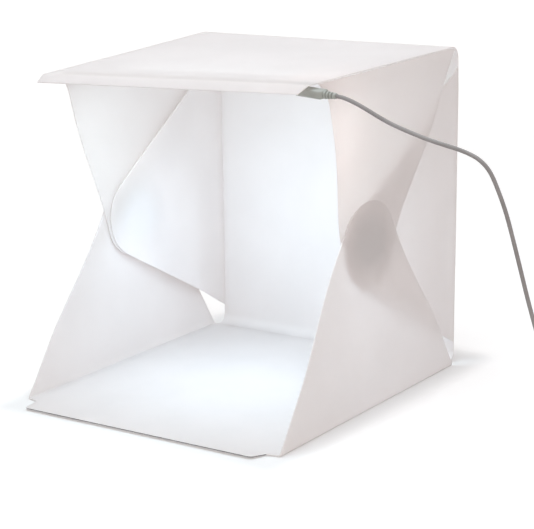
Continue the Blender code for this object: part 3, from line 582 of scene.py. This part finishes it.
def moved(bm, matrix):
    """Takes a whole shape to its place."""
    bmesh.ops.transform(bm, matrix=matrix, verts=bm.verts)
    return bm


def softened(bm, width, segments=2, edges=None):
    """Bevels the given edges, or all of them."""
    bmesh.ops.bevel(bm, geom=edges or list(bm.edges), offset=width, segments=segments, profile=0.5,
                    affect="EDGES", material=-1)
    return bm


def rim(bm, test):
    """The open edges both of whose ends pass a test."""
    return [e for e in bm.edges if e.is_boundary and all(test(v.co) for v in e.verts)]


def carried(bm, edges, offset, steps):
    """Runs an edge of the sheet straight on, and gives the last row."""
    for _ in range(steps):
        grown = bmesh.ops.extrude_edge_only(bm, edges=edges)["geom"]
        row = [v for v in grown if isinstance(v, bmesh.types.BMVert)]
        bmesh.ops.translate(bm, verts=row, vec=offset / steps)
        edges = [e for e in grown if isinstance(e, bmesh.types.BMEdge)]
    return edges


def rolled(bm, edges, centre, axis, angle, steps):
    """Runs an edge of the sheet round a bend, and gives the last row."""
    geometry = list(edges) + list({v for e in edges for v in e.verts})
    last = bmesh.ops.spin(bm, geom=geometry, cent=centre, axis=axis, dvec=(0, 0, 0), angle=angle,
                          steps=steps, use_duplicate=False)["geom_last"]
    return [e for e in last if isinstance(e, bmesh.types.BMEdge)]


def clipped(bm, point, normal, near=None, cut=True):
    """Cuts away what lies beyond a plane, or only draws the cut. near picks the faces it works on."""
    faces = [f for f in bm.faces if near is None or near(f.calc_center_median())]
    geometry = list({v for f in faces for v in f.verts}) + list({e for f in faces for e in f.edges}) + faces
    bmesh.ops.bisect_plane(bm, geom=geometry, dist=1e-7, plane_co=point, plane_no=normal, clear_outer=cut)


def rounded_off(bm, centre, radius, first, last, steps, near=None):
    """Cuts a round corner or tip, one flat at a time, in X and Y."""
    for i in range(steps + 1):
        angle = first + (last - first) * i / steps
        normal = Vector((cos(angle), sin(angle), 0))
        clipped(bm, Vector((*centre, 0)) + radius * normal, normal, near)


def tidy(bm):
    """Joins the corners that the cuts left on one another."""
    bmesh.ops.remove_doubles(bm, verts=bm.verts, dist=0.02 * MM)
    bmesh.ops.dissolve_degenerate(bm, edges=bm.edges, dist=0.01 * MM)


def settled(point):
    """How the real sheet stands off its square shape: the top is twisted, so that its rear left and front
    right corners are high, and its front edge is a little wider than its rear one."""
    behind = point.y - FRONT
    rise = eased(point.z, *TWIST_RANGE)
    across = clamped(point.x / TOP_EDGE, -1.0)
    rearward = within(behind, TOP_CREASE, TWIST_DEPTH)
    front, rear = (middle + more * across for middle, more in (TWIST_FRONT, TWIST_REAR))
    lift = (front * (1 - rearward) + rear * rearward) * rise
    edge = within(abs(point.x), *SPREAD_RANGE)
    spread = copysign(SPREAD, point.x) * edge * (1 - rearward) * rise
    return Vector((spread, 0, lift))


def racked(up):
    """The back leans to the right as it rises."""
    return RACK * within(up, *RACK_RANGE)


def off_pads(along, up):
    return hypot(along - PADS_DEPTH, up - PADS_HEIGHT)


def pads_plane(along, up, layer):
    """How far from the middle a layer of side flaps lies near the pads: 0 is the outermost layer. The
    pads hold the layers apart, and round them they touch."""
    apart = PINCHED_LAYER + (TOUCHING_LAYER - PINCHED_LAYER) * eased(
        off_pads(along, up) - PAD_RADIUS, *TOUCHING_RANGE)
    return PADS_PLANE - layer * apart + PADS_TILT * (up - PADS_HEIGHT)


def paint(bm, name, amount):
    """Writes a value from 0 to 1 at each corner, for the finish to read."""
    layer = bm.verts.layers.float.get(name) or bm.verts.layers.float.new(name)
    for v in bm.verts:
        v[layer] = clamped(amount(v.co))


def as_sheet(name, bm, crease=None):
    """Gives a trimmed grid, in the shared frame, its twist, its thickness and its softened edges."""
    tidy(bm)
    paint(bm, "fold", crease or (lambda co: 0))
    for v in bm.verts:
        v.co += settled(v.co)
    bmesh.ops.recalc_face_normals(bm, faces=bm.faces)
    piece = made(name, bm, WHITE_SHEET, 40.0)
    thick = piece.modifiers.new("thickness", "SOLIDIFY")
    thick.thickness = SHEET
    thick.offset = 0.0
    thick.use_even_offset = True
    soft = piece.modifiers.new("edges", "BEVEL")
    soft.width = 0.16 * MM
    soft.segments = 2
    soft.limit_method = "ANGLE"
    soft.angle_limit = radians(60)
    applied(piece)
    return piece


def ripple(point, scale, size):
    """A gentle unevenness that is the same each time."""
    return noise.noise(point * scale + Vector((3.1, 7.7, 1.3))) * size


def front_line(across):
    """How far behind its square place the base's front edge lies."""
    return TAB_SKEW * across - 1.2 * MM


def cut_tab_corner(bm, side):
    """Trims one front corner of the base: the round end of the tab, and the notch before the fold."""
    half = EDGE - CREASE
    slant = atan2(TAB_REAR - TAB_FRONT, TAB_LENGTH)
    inner = Vector((side * TAB_REAR, TAB_LENGTH, 0))
    outer = Vector((side * half, FOLD_FRONT - 0.3 * MM, 0))
    line = outer - inner

    def beside(co):
        return co.x * side > half - 4 * CELL and co.y < 3 * CELL

    def in_tab(co):
        return beside(co) and co.y < TAB_LENGTH

    for normal in (REARWARD, ACROSS, Vector((-line.y, line.x, 0))):
        clipped(bm, inner, normal, beside, cut=False)
    gone = []
    for f in bm.faces:
        co = f.calc_center_median()
        reach = co.x * side - TAB_REAR
        if reach > 0 and TAB_LENGTH < co.y < TAB_LENGTH + reach * line.y / abs(line.x):
            gone.append(f)
    bmesh.ops.delete(bm, geom=gone, context="FACES")
    corner = TAB_FRONT - TAB_RADIUS * (1 - sin(slant)) / cos(slant)
    rounded_off(bm, (side * corner, TAB_RADIUS), TAB_RADIUS, -pi / 2,
                -pi / 2 + side * (pi / 2 - slant), 6, in_tab)


def base_sheet():
    bm = flat_grid(2 * (EDGE - CREASE), BASE_DEPTH)
    for _, side in SIDES:
        cut_tab_corner(bm, side)
        rear_slant = Vector((side * 2, 3, 0)).normalized()
        clipped(bm, Vector((side * BACK_EDGE, BASE_DEPTH, 0)), rear_slant)
    for v in bm.verts:
        v.co.z += TAB_LIFT * max(0, 1 - v.co.y / (3 * CELL)) ** 2
        v.co.y += front_line(v.co.x) * max(0, 1 - v.co.y / TAB_LENGTH)
    moved(bm, Matrix.Translation(tent(0, 0, SHEET / 2)))
    piece = as_sheet("base_sheet", bm)
    # The front tab's rim faces take the dark finish: painted shade for the gap under its lifted edge.
    piece.data.materials.append(SHADED_FRONT_RIM)
    for face in piece.data.polygons:
        if abs(face.normal.z) < 0.6 and face.center.y < FRONT + TAB_LENGTH - 0.5 * MM:
            face.material_index = 1
    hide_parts("base_panel")
    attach(piece, "base")


LOWER_BEND = tent(0, BASE_DEPTH, SHEET / 2 + BEND_RADIUS)
BACK_UP = Vector((0, sin(BACK_LEAN), cos(BACK_LEAN)))
BACK_OUT = Vector((0, cos(BACK_LEAN), -sin(BACK_LEAN)))
BACK_START = LOWER_BEND + BEND_RADIUS * BACK_OUT
BACK_END = BACK_START + BACK_HEIGHT * BACK_UP
UPPER_BEND = BACK_END - BEND_RADIUS * BACK_OUT
TOP_OUT = Vector((0, -sin(TOP_DROOP), cos(TOP_DROOP)))
TOP_FORWARD = Vector((0, -cos(TOP_DROOP), -sin(TOP_DROOP)))
TOP_START = UPPER_BEND + BEND_RADIUS * TOP_OUT


def back_sheet():
    bm = flat_grid(2 * BACK_EDGE, BACK_HEIGHT)
    moved(bm, Matrix.Translation(BACK_START) @ Matrix.Rotation(pi / 2 - BACK_LEAN, 4, "X"))
    foot = rim(bm, lambda co: (co - BACK_START).dot(BACK_UP) < 1e-6)
    rolled(bm, foot, LOWER_BEND, ACROSS, BACK_LEAN - pi / 2, 10)
    for v in bm.verts:
        up = (v.co - BACK_START).dot(BACK_UP)
        free_part = eased(up, 0, BACK_FREE) * eased(BACK_HEIGHT - up, 0, BACK_FREE)
        v.co += BACK_OUT * ripple(v.co, 9.0, RIPPLE) * free_part
        v.co.x += racked(v.co.z)
    piece = as_sheet("back_sheet", bm)
    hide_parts("back_panel")
    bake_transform(piece)


def top_sheet():
    bm = flat_grid(2 * TOP_EDGE, TOP_DEPTH)
    moved(bm, Matrix.Translation(TOP_START) @ Matrix.Rotation(pi + TOP_DROOP, 4, "X"))
    rear = rim(bm, lambda co: (co - TOP_START).dot(TOP_FORWARD) < 1e-6)
    rolled(bm, rear, UPPER_BEND, ACROSS, -(pi / 2 + BACK_LEAN + TOP_DROOP), 12)
    front = rim(bm, lambda co: (co - TOP_START).dot(TOP_FORWARD) > TOP_DEPTH - 1e-6)
    crease = TOP_START + TOP_DEPTH * TOP_FORWARD - 1.0 * MM * TOP_OUT
    front = rolled(bm, front, crease, ACROSS, LIP_ANGLE, 4)
    down = Matrix.Rotation(LIP_ANGLE, 3, "X") @ TOP_FORWARD
    carried(bm, front, down * (LIP_WIDTH - 0.4 * MM), 3)
    crease_line = TOP_START + TOP_DEPTH * TOP_FORWARD
    for v in bm.verts:
        past = (v.co - crease_line).dot(down)
        if past > 0.5 * MM and (v.co - crease_line).dot(TOP_FORWARD) > 0:
            v.co.x *= 1 - 0.018 * past / LIP_WIDTH
        along = (v.co - TOP_START).dot(TOP_FORWARD)
        free_part = eased(along, 0, TOP_FREE) * eased(TOP_DEPTH - 15 * MM - along, 0, TOP_FREE)
        if along < 0:
            from_bend = v.co - UPPER_BEND
            turned_by = atan2(from_bend.dot(BACK_OUT), from_bend.dot(TOP_OUT))
            narrowed = eased(2 * turned_by / (pi / 2))
            v.co.x *= 1 - narrowed * (1 - BACK_EDGE / TOP_EDGE)
            v.co.x += narrowed * racked(BACK_END.z)
        v.co += TOP_OUT * ripple(v.co, 8.0, RIPPLE) * free_part
    for _, side in SIDES:
        corner = crease_line + down * (LIP_WIDTH - LIP_CORNER) + side * (TOP_EDGE - 2.4 * MM) * ACROSS
        for turn in (25, 45, 65):
            slant = radians(turn)
            normal = side * cos(slant) * ACROSS + sin(slant) * down
            clipped(bm, corner + LIP_CORNER * normal, normal)
    piece = as_sheet(
        "top_sheet", bm, lambda co: 1 - abs((co - crease_line).dot(TOP_FORWARD)) / (2.5 * MM))
    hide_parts("top_panel", "front_lip")
    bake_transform(piece)


def flap_grid(start, end, centre, radius=TIP_RADIUS):
    """A side flap, flat in X along its fold and Y away from it: two slanted edges and a round tip."""
    centre = Vector(centre)
    bm = flat_grid(end - start, centre.y + radius, centred=False)
    moved(bm, Matrix.Translation(start * ACROSS))

    def touch(along, turn):
        """The angle at which the edge from one end of the fold meets the tip."""
        away = Vector((along, 0)) - centre
        return atan2(away.y, away.x) + turn * acos(radius / away.length)

    rounded_off(bm, centre, radius, touch(end, 1), touch(start, -1) + 2 * pi, 22)
    tidy(bm)
    return bm


def flap_ripple(along, up, free_part):
    """The side flaps' unevenness. Layers that touch share it, and the pads keep them flat."""
    clear = eased(off_pads(along, up), *PADS_FREE)
    return ripple(Vector((0, along, up)), 11.0, FLAP_RIPPLE) * clear * free_part


def hinged(bm, label, layer, crease):
    """Finishes a flap. It stands for its solid, which is hidden, and its place is baked into its mesh."""
    piece = as_sheet(f"{label}_{layer}_sheet", bm, crease)
    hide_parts(f"{label}_{layer}_flap")
    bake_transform(piece)


def lower_flap(label, side):
    """It stands up from the base's edge, and leans in to the pads."""
    bm = flap_grid(FOLD_FRONT, FOLD_REAR, LOWER_TIP)
    for v in bm.verts:
        along, away = v.co.x, v.co.y
        up = SHEET / 2 + CREASE + away * (1 - CREASE / LOWER_REACH)
        leaning = eased(up, *LOWER_LEAN)
        across = EDGE * (1 - leaning) + pads_plane(along, up, 0) * leaning
        v.co = tent(side * across, along, up)
        v.co.x += flap_ripple(along, up, eased(up, *LOWER_FREE))
    fold = rim(bm, lambda co: co.z < SHEET / 2 + CREASE + 1e-6)
    hinge = Vector((side * (EDGE - CREASE), 0, SHEET / 2 + CREASE))
    rolled(bm, fold, hinge, REARWARD, side * pi / 2, 5)
    hinged(bm, label, "lower",
           lambda co: 1 - (co.z - SHEET / 2) / (3 * MM))


def upper_flap(label, side):
    """It hangs from the top's edge, and leans in to its own layer. Its front edge flares into the fold."""
    fold_height = (TOP_START - TOP_OUT * (SHEET * 0.9)).z
    bm = flap_grid(UPPER_FRONT, UPPER_REAR, UPPER_TIP, UPPER_TIP_RADIUS)
    for v in bm.verts:
        along, away = v.co.x, v.co.y
        from_edge = along - (UPPER_FRONT + UPPER_FRONT_SLANT * away)
        at_edge = eased(1 - from_edge / (45 * MM))
        tip = eased(125 * MM - away, 0, 40 * MM)
        flare = max(0, 1 - away / (14 * MM)) ** 2
        to_rear_edge = UPPER_REAR - UPPER_REAR_SLANT * away - along
        rear_edge = eased(1 - to_rear_edge / (30 * MM))
        along -= at_edge * (0.8 * MM * tip + UPPER_FLARE * flare)
        along += rear_edge * UPPER_REAR_FLARE * max(0, 1 - away / (45 * MM)) ** 2
        drop = (TOP_START.y - FRONT - along) * tan(TOP_DROOP)
        up = fold_height - max(drop, -0.1 * MM) - away
        up -= 1.0 * MM * eased(along, 238 * MM, 4 * MM) * max(0, 1 - away / (30 * MM))
        leaning = eased(UPPER_LEAN[0] - up, 0, UPPER_LEAN[1])
        across = (TOP_EDGE - 0.5 * MM) * (1 - leaning) + pads_plane(along, up, 1) * leaning
        v.co = tent(side * across, along, up)
        v.co.x += flap_ripple(along, up, eased(away, *FLAP_FREE))
    hinged(bm, label, "upper",
           lambda co: 1 + (co - TOP_START).dot(TOP_OUT) / (4 * MM))


def rear_flap(label, side):
    """It leaves the back's edge and curves in to the innermost layer."""
    bm = flap_grid(REAR_FOOT, REAR_HEAD, REAR_TIP)
    for v in bm.verts:
        up, away = v.co.x, v.co.y
        behind = (BACK_START.y - FRONT) + (up - BACK_START.z) * tan(BACK_LEAN) - SHEET * 0.5
        curve = 1 - eased(away, 0, REAR_CURVE)
        inner = side * pads_plane(behind - away, up, 2)
        edge = side * (BACK_EDGE - 0.5 * MM) + racked(up)
        v.co = tent(inner + (edge - inner) * curve, behind - away, up)
        v.co.x += flap_ripple(behind - away, up, eased(away, *FLAP_FREE))
    hinged(bm, label, "rear",
           lambda co: 1 + (co - BACK_START).dot(BACK_OUT) / (4 * MM))


def pad(label, side, flap, kind, layer, face, look):
    """A round fastening pad on one face of a flap: 1 is the face away from the tent's middle."""
    bm = bmesh.new()
    bmesh.ops.create_cone(bm, cap_ends=True, segments=56, radius1=PAD_RADIUS, radius2=PAD_RADIUS,
                          depth=PAD_THICKNESS)
    softened(bm, 0.2 * MM, 2, [e for e in bm.edges if abs(e.verts[0].co.z - e.verts[1].co.z) < 1e-6])
    off = pads_plane(PADS_DEPTH, PADS_HEIGHT, layer) + face * (SHEET / 2 + PAD_THICKNESS / 2 + 0.05 * MM)
    turn = Vector((side, 0, -PADS_TILT)).to_track_quat("Z", "Y").to_matrix().to_4x4()
    moved(bm, Matrix.Translation(tent(side * off, PADS_DEPTH, PADS_HEIGHT)) @ turn)
    rigid(f"{label}_{flap}_{kind}_disc", bm, look, f"{label}_{flap}", [f"{label}_{flap}_flap_{kind}_pad"])


base_sheet()
back_sheet()
top_sheet()
for label, side in SIDES:
    lower_flap(label, side)
    upper_flap(label, side)
    rear_flap(label, side)
    pad(label, side, "lower", "hook", 0, -1, HOOK_PAD)
    pad(label, side, "upper", "loop", 1, 1, LOOP_PAD)
    pad(label, side, "upper", "hook", 1, -1, HOOK_PAD)
    pad(label, side, "rear", "loop", 2, 1, LOOP_PAD)
frame["nodes"]["cord_tie"].material_slots[0].material = TIE_BLACK


# The lamp strip under the top, and the plug in its socket

TOP_FRAME = Matrix.Translation((0, 0.121361, 0.236235)) @ Matrix.Rotation(-TOP_DROOP, 4, "X").inverted()
STRIP_ALONG = -179.44 * MM
BOARD_LENGTH = 204.0 * MM
STRIP_WIDTH = 8.0 * MM
BOARD_UPPER = 1.019 * MM
BOARD_UNDER = BOARD_UPPER - 1.0 * MM - 0.02 * MM
LAMPS = 20
RESISTORS = 4
SOCKET_MOUTH = 102 * MM
PLUG_LENGTH = 31 * MM
PARTS_RUN = BOARD_LENGTH - 2 * 17.6 * MM  # from the first lamp to the last one
LAMP_SIZE = mm(3.5, 2.8, 0.9)
GEL_SIZE = mm(2.7, 2.0, 0.22)
SOLDER_SIZE = mm(0.9, 2.2, 0.1)
RESISTOR_SIZE = mm(1.4, 1.2, 0.5)
CAP_SIZE = mm(0.3, 1.22, 0.52)
SOCKET_SIZE = mm(5.6, 7.7, 2.9)
SOCKET_DEEP = 4.9 * MM
LAMP_ROW = STRIP_ALONG - 1.5 * MM
RESISTOR_ROW = STRIP_ALONG + 2.4 * MM


def block(size, centre):
    bm = bmesh.new()
    bmesh.ops.create_cube(bm, size=1.0, matrix=Matrix.Translation(centre) @ Matrix.Diagonal((*size, 1.0)))
    return bm


def added(bm, part, material_index=0):
    """Joins one finished shape into another."""
    for f in part.faces:
        f.material_index = material_index
    mesh = bpy.data.meshes.new("part")
    part.to_mesh(mesh)
    part.free()
    bm.from_mesh(mesh)
    bpy.data.meshes.remove(mesh)


def under_top(bm):
    """Takes a shape from the top's own frame to the shared frame, with the top's twist."""
    for v in moved(bm, TOP_FRAME).verts:
        v.co += settled(v.co)
    return bm


def along_strip(count):
    """The places of so many parts, from end to end of the board."""
    return [-PARTS_RUN / 2 + i * PARTS_RUN / (count - 1) for i in range(count)]


def inset(bm, face, width, depth=0.0, even=True):
    """Frames a face with a border, and sinks what is inside it."""
    bmesh.ops.inset_region(bm, faces=[face], thickness=width, depth=depth, use_even_offset=even)


def hollowed(bm, deep):
    """Opens a metal shell at its end along X, down to a floor."""
    mouth = max(bm.faces, key=lambda f: f.calc_center_median().x)
    inset(bm, mouth, 0.3 * MM)
    inset(bm, mouth, 0.001 * MM, -deep, even=False)
    return bm


def lamp_strip():
    tape = block((BOARD_LENGTH, STRIP_WIDTH, 0.5 * MM), (0, STRIP_ALONG, BOARD_UPPER + 0.55 * MM))
    board = block((BOARD_LENGTH, STRIP_WIDTH, 1.0 * MM), (0, STRIP_ALONG, BOARD_UPPER - 0.5 * MM))
    softened(tape, 0.1 * MM)
    softened(board, 0.08 * MM)
    lamps, gels, resistors = bmesh.new(), bmesh.new(), bmesh.new()
    for x in along_strip(LAMPS):
        case = block(LAMP_SIZE, (x, LAMP_ROW, BOARD_UNDER - 0.71 * MM))
        face = min(case.faces, key=lambda f: f.calc_center_median().z)
        inset(case, face, 0.35 * MM)
        bmesh.ops.translate(case, verts=face.verts, vec=0.2 * MM * UPWARD)
        added(lamps, case)
        gel = block(GEL_SIZE, (x, LAMP_ROW, BOARD_UNDER - 1.0 * MM))
        added(gels, softened(gel, 0.06 * MM, 1))
        for end in (-1, 1):
            place = (x + end * 2.1 * MM, LAMP_ROW, BOARD_UNDER - 0.03 * MM)
            added(board, block(SOLDER_SIZE, place), 1)
    for x in along_strip(RESISTORS):
        height = BOARD_UNDER - 0.53 * MM
        added(resistors, softened(block(RESISTOR_SIZE, (x, RESISTOR_ROW, height)), 0.08 * MM, 1))
        for end in (-1, 1):
            cap = block(CAP_SIZE, (x + end * 0.85 * MM, RESISTOR_ROW, height))
            added(resistors, softened(cap, 0.05 * MM, 1), 1)
    low = BOARD_UPPER - 1.3 * MM - 1.45 * MM
    socket = block(SOCKET_SIZE, (BOARD_LENGTH / 2 - SOCKET_SIZE[0] / 2, STRIP_ALONG, low))
    hollowed(socket, SOCKET_DEEP)
    softened(socket, 0.6 * MM, 3, [
        e for e in socket.edges if abs((e.verts[0].co - e.verts[1].co).normalized().x) > 0.9
        and e.calc_length() > SOCKET_SIZE[0] - 0.1 * MM])
    for name, bm, looks, nodes, slot in (
        ("tape_band", tape, TAPE, ["strip_tape"], "tape"),
        ("board_with_pads", board, [BOARD, COPPER], ["lamp_board"], "circuit_board"),
        ("lamp_cases", lamps, LAMP_CASE, [f"lamp_{i + 1:02d}" for i in range(LAMPS)], "lamp"),
        ("lamp_gels", gels, LAMP_GEL, [], "lamp"),
        ("resistors", resistors, [RESISTOR, STEEL], [f"resistor_{i + 1:02d}" for i in range(RESISTORS)],
         "resistor"),
        ("socket_shell", socket, STEEL, ["lamp_socket"], "plated_steel"),
    ):
        rigid(name, under_top(bm), looks, "top", nodes)


def turned(profile):
    """A shape turned about X from (distance along X, radius) pairs, closed at both ends."""
    bm = bmesh.new()
    chain = [bm.verts.new((along, 0, radius)) for along, radius in profile]
    edges = [bm.edges.new(pair) for pair in zip(chain, chain[1:])]
    bmesh.ops.spin(bm, geom=chain + edges, cent=(0, 0, 0), axis=ACROSS, dvec=(0, 0, 0), angle=2 * pi,
                   steps=24, use_merge=True)
    bmesh.ops.remove_doubles(bm, verts=bm.verts, dist=0.01 * MM)
    bmesh.ops.holes_fill(bm, edges=[e for e in bm.edges if e.is_boundary], sides=0)
    bmesh.ops.recalc_face_normals(bm, faces=bm.faces)
    return bm


def ribbed_relief(start, length, wide, narrow, ribs=4):
    """A strain relief: soft ribs with deep grooves between them, each a little narrower or wider."""
    pitch = length / ribs
    profile = []
    for i in range(ribs):
        radius = (wide + (narrow - wide) * i / (ribs - 1)) / 2
        begin = start + i * pitch
        groove = radius - 1.0 * MM
        profile += [(begin, radius - 0.12 * MM), (begin + 0.14 * MM, radius), (begin + 0.5 * pitch, radius),
                    (begin + 0.58 * pitch, radius - 0.12 * MM)]
        if i < ribs - 1:
            profile += [(begin + 0.64 * pitch, groove), (begin + 0.94 * pitch, groove)]
    profile.append((start + length, narrow / 2 - 0.25 * MM))
    return turned(profile)


def moulded_body(start, length, width, thickness, edge, margin):
    """A plug's moulded body: rounded all round, with a shallow panel on both broad faces."""
    bm = softened(block((length, width, thickness), (start + length / 2, 0, 0)), edge, 4)
    for f in [f for f in bm.faces if abs(f.normal.z) > 0.99]:
        inset(bm, f, margin)
        inset(bm, f, 0.25 * MM, -0.22 * MM)
    return bm


def lamp_plug():
    """The lamp's plug. It takes the strip's twist at the socket, and none where the lead starts."""
    nose = softened(block(mm(6.5, 6.7, 1.9), mm(0.9, 0, 0)), 0.35 * MM, 3)
    body = moulded_body(*mm(4.45, 20.5, 9.5, 5.6, 1.4, 1.0))
    relief = ribbed_relief(*mm(25.0, 8.9, 5.4, 4.0))
    for name, bm, look, slot in (
        ("nose", nose, STEEL, "plated_steel"),
        ("body", body, PLUG_GREY, "plug_grey"),
        ("relief", relief, PLUG_GREY, "plug_grey"),
    ):
        for v in moved(bm, PLUG_FRAME).verts:
            share = 1 - eased(v.co.x, SOCKET_MOUTH, PLUG_LENGTH)
            v.co.z += settled(Vector((SOCKET_MOUTH, v.co.y, v.co.z))).z * share
        rigid(f"plug_{name}", bm, look, "top", [f"lamp_plug_{name}"])


def far_plug():
    """The plug on the lead's far end, which lies on the floor beside the coil."""
    end = lower_route[-1]
    lie = Matrix.Translation(end - 0.1 * MM * ACROSS) @ Matrix.Rotation(pi, 4, "Z")
    relief = ribbed_relief(*mm(0, 9.4, 4.0, 6.0))
    body = moulded_body(*mm(9.5, 24.0, 16.0, 8.0, 1.6, 2.0))
    shell = hollowed(block(mm(12.0, 12.0, 4.5), mm(39.8, 0, 0)), 11.6 * MM)
    windows = bmesh.new()
    for side in (-1, 1):
        added(windows, block(mm(2.2, 2.2, 0.12), (41.5 * MM, side * 2.9 * MM, 2.25 * MM)))
    insert = softened(block(mm(10.6, 10.8, 1.9), mm(39.6, 0, -0.7)), 0.15 * MM, 1)
    contacts = bmesh.new()
    for i, long in enumerate(mm(7.4, 6.4, 6.4, 7.4)):
        added(contacts, block((long, 1.2 * MM, 0.16 * MM),
                              (44.2 * MM - long / 2, (i - 1.5) * 2.4 * MM, 0.28 * MM)))
    return [
        rigid(name, moved(bm, lie), look, "base", nodes)
        for name, bm, look, nodes, slot in (
            ("far_relief", relief, PLUG_GREY, ["far_plug_relief"], "plug_grey"),
            ("far_body", body, PLUG_GREY, ["far_plug_body"], "plug_grey"),
            ("far_shell", shell, STEEL, ["far_plug_shell"], "plated_steel"),
            ("far_windows", softened(windows, 0.03 * MM, 1), INSERT_BLACK, [], "insert_black"),
            ("far_insert", insert, INSERT_BLACK, ["far_plug_insert"], "insert_black"),
            ("far_contacts", softened(contacts, 0.04 * MM, 1), GOLD, [], "plated_steel"),
        )
    ]


lamp_strip()
lamp_plug()
declared_cords(far_plug())


# The studio: a pale floor, a pale room, and soft lamps

FLOOR_SIZE = 12.0
FLOOR_GAP = 0.3 * MM  # the base doesn't lie in the floor's own plane
# The floor's glow is lowest at the tent and rises over a short reach: a painted contact shadow round its
# footprint.
SHADOWED_EDGE_GLOW = 0.1  # the glow that the camera sees on the floor: at the tent, round it, and added far away
NEAR_GLOW = 0.36
FAR_GLOW = 0.32
PAINTED_SHADOW_REACH = 0.03
FAR_START, FAR_REACH = 0.15, 2.5
ROOM_LIGHT = 0.615
ROOM_COLOUR = (1.0, 0.925, 0.89)
WHITE = (1.0, 1.0, 1.0, 1.0)


def floor():
    bm = bmesh.new()
    bmesh.ops.create_grid(bm, x_segments=1, y_segments=1, size=FLOOR_SIZE,
                          matrix=Matrix.Translation(-FLOOR_GAP * UPWARD))
    made("studio_floor", bm, floor_finish())


def seen_directly(nodes):
    """1 for what the camera, a mirror or clear glass sees, and 0 for the light on the tent, also where its
    thin sheet scatters it."""
    path = nodes.add("LightPath").outputs
    through_glass = nodes.calc("MULTIPLY", path["Is Transmission Ray"], nodes.calc(
        "SUBTRACT", 1.0, path["Is Diffuse Ray"]))
    return nodes.calc("MAXIMUM", path["Is Camera Ray"], nodes.calc(
        "MAXIMUM", path["Is Glossy Ray"], through_glass))


def beside_tent(nodes):
    """How far a point of the floor lies from the tent's own footprint."""
    spot = nodes.add("SeparateXYZ", {0: nodes.add("TexCoord").outputs["Object"]})
    past = [
        nodes.calc("MAXIMUM", nodes.calc("SUBTRACT", nodes.calc("ABSOLUTE", spot.outputs[axis]), half))
        for axis, half in ((0, EDGE), (1, -FRONT))
    ]
    offset = nodes.add("CombineXYZ", {0: past[0], 1: past[1]}).outputs[0]
    return nodes.add("VectorMath", {0: offset}, operation="LENGTH").outputs["Value"]


def floor_finish():
    look = bpy.data.materials.new("studio_floor")
    look.use_nodes = True
    nodes = Nodes(look.node_tree)
    shader = nodes.add("BsdfPrincipled", {
        "Base Color": rgb(0.72, 0.72, 0.72), "Roughness": 0.9, "Specular IOR Level": 0.1,
    })
    away = beside_tent(nodes)
    # Dimmer close to the tent's footprint: a painted contact shadow on the floor, on top of the shadow that
    # the lamps cast.
    glow_with_painted_shadow = nodes.calc("ADD", nodes.ramp(away, 0.0, PAINTED_SHADOW_REACH, SHADOWED_EDGE_GLOW, NEAR_GLOW),
                       nodes.ramp(away, FAR_START, FAR_REACH, 0.0, FAR_GLOW))
    glow = nodes.add("Emission", {
        "Color": WHITE, "Strength": nodes.calc("MULTIPLY", seen_directly(nodes), glow_with_painted_shadow),
    })
    both = nodes.add("AddShader", {0: shader.outputs[0], 1: glow.outputs[0]})
    nodes.add("OutputMaterial", {"Surface": both.outputs[0]})
    return look


def room():
    world = bpy.data.worlds.new("studio_room")
    world.use_nodes = True
    bpy.context.scene.world = world
    nodes = Nodes(world.node_tree)
    light = nodes.add("Background", {"Color": rgb(*ROOM_COLOUR), "Strength": ROOM_LIGHT})
    seen = nodes.add("Background", {"Color": WHITE, "Strength": 1.0})
    choice = nodes.add("MixShader", {0: seen_directly(nodes), 1: light.outputs[0], 2: seen.outputs[0]})
    nodes.add("OutputWorld", {"Surface": choice.outputs[0]})


def soft_lamp(name, place, target, size, power, colour, body=None):
    """An area lamp that the camera doesn't see. One inside the tent rides with the panel that holds it."""
    data = bpy.data.lights.new(name, "AREA")
    data.shape = "RECTANGLE"
    data.size, data.size_y = size
    data.energy = power
    data.color = colour
    lamp = bpy.data.objects.new(name, data)
    collection().link(lamp)
    lamp.location = place
    lamp.rotation_euler = (Vector(target) - Vector(place)).to_track_quat("-Z", "Y").to_euler()
    lamp.visible_camera = False
    if body:
        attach(lamp, body)


floor()
room()
soft_lamp("key_above", (0.05, -0.2, 1.6), (0, 0, 0.1), (1.2, 1.2), power=14.0,
          colour=(0.81, 0.925, 1.0))
soft_lamp("warm_side", (0.55, -0.45, 0.25), (0.115, -0.05, 0.12), (0.35, 0.35), power=0.35,
          colour=(1.0, 0.68, 0.59))
for name, place, target, size, power, colour in (
    ("corner_glow", mm(72, 92, 190), mm(115, 92, 185), mm(30, 60), 0.01, (1.0, 0.64, 0.56)),
    ("strip_light", mm(10, 72, 226), mm(10, 190, 0), mm(144, 8), 0.178, (0.774, 0.956, 1.0)),
    ("front_fill", mm(0, 25, 120), mm(0, 150, 70), mm(170, 80), 0.05, (0.54, 0.80, 1.0)),
    ("rear_fill", mm(0, 110, 120), mm(0, 215, 20), mm(150, 60), 0.115, (0.68, 0.85, 1.0)),
):
    soft_lamp(name, tent(*place), tent(*target), size, power, colour, "top")

scene = bpy.context.scene
scene.view_settings.view_transform = "Standard"
scene.cycles.diffuse_bounces = 12  # the light goes through layer after layer of sheet
scene.cycles.max_bounces = 16
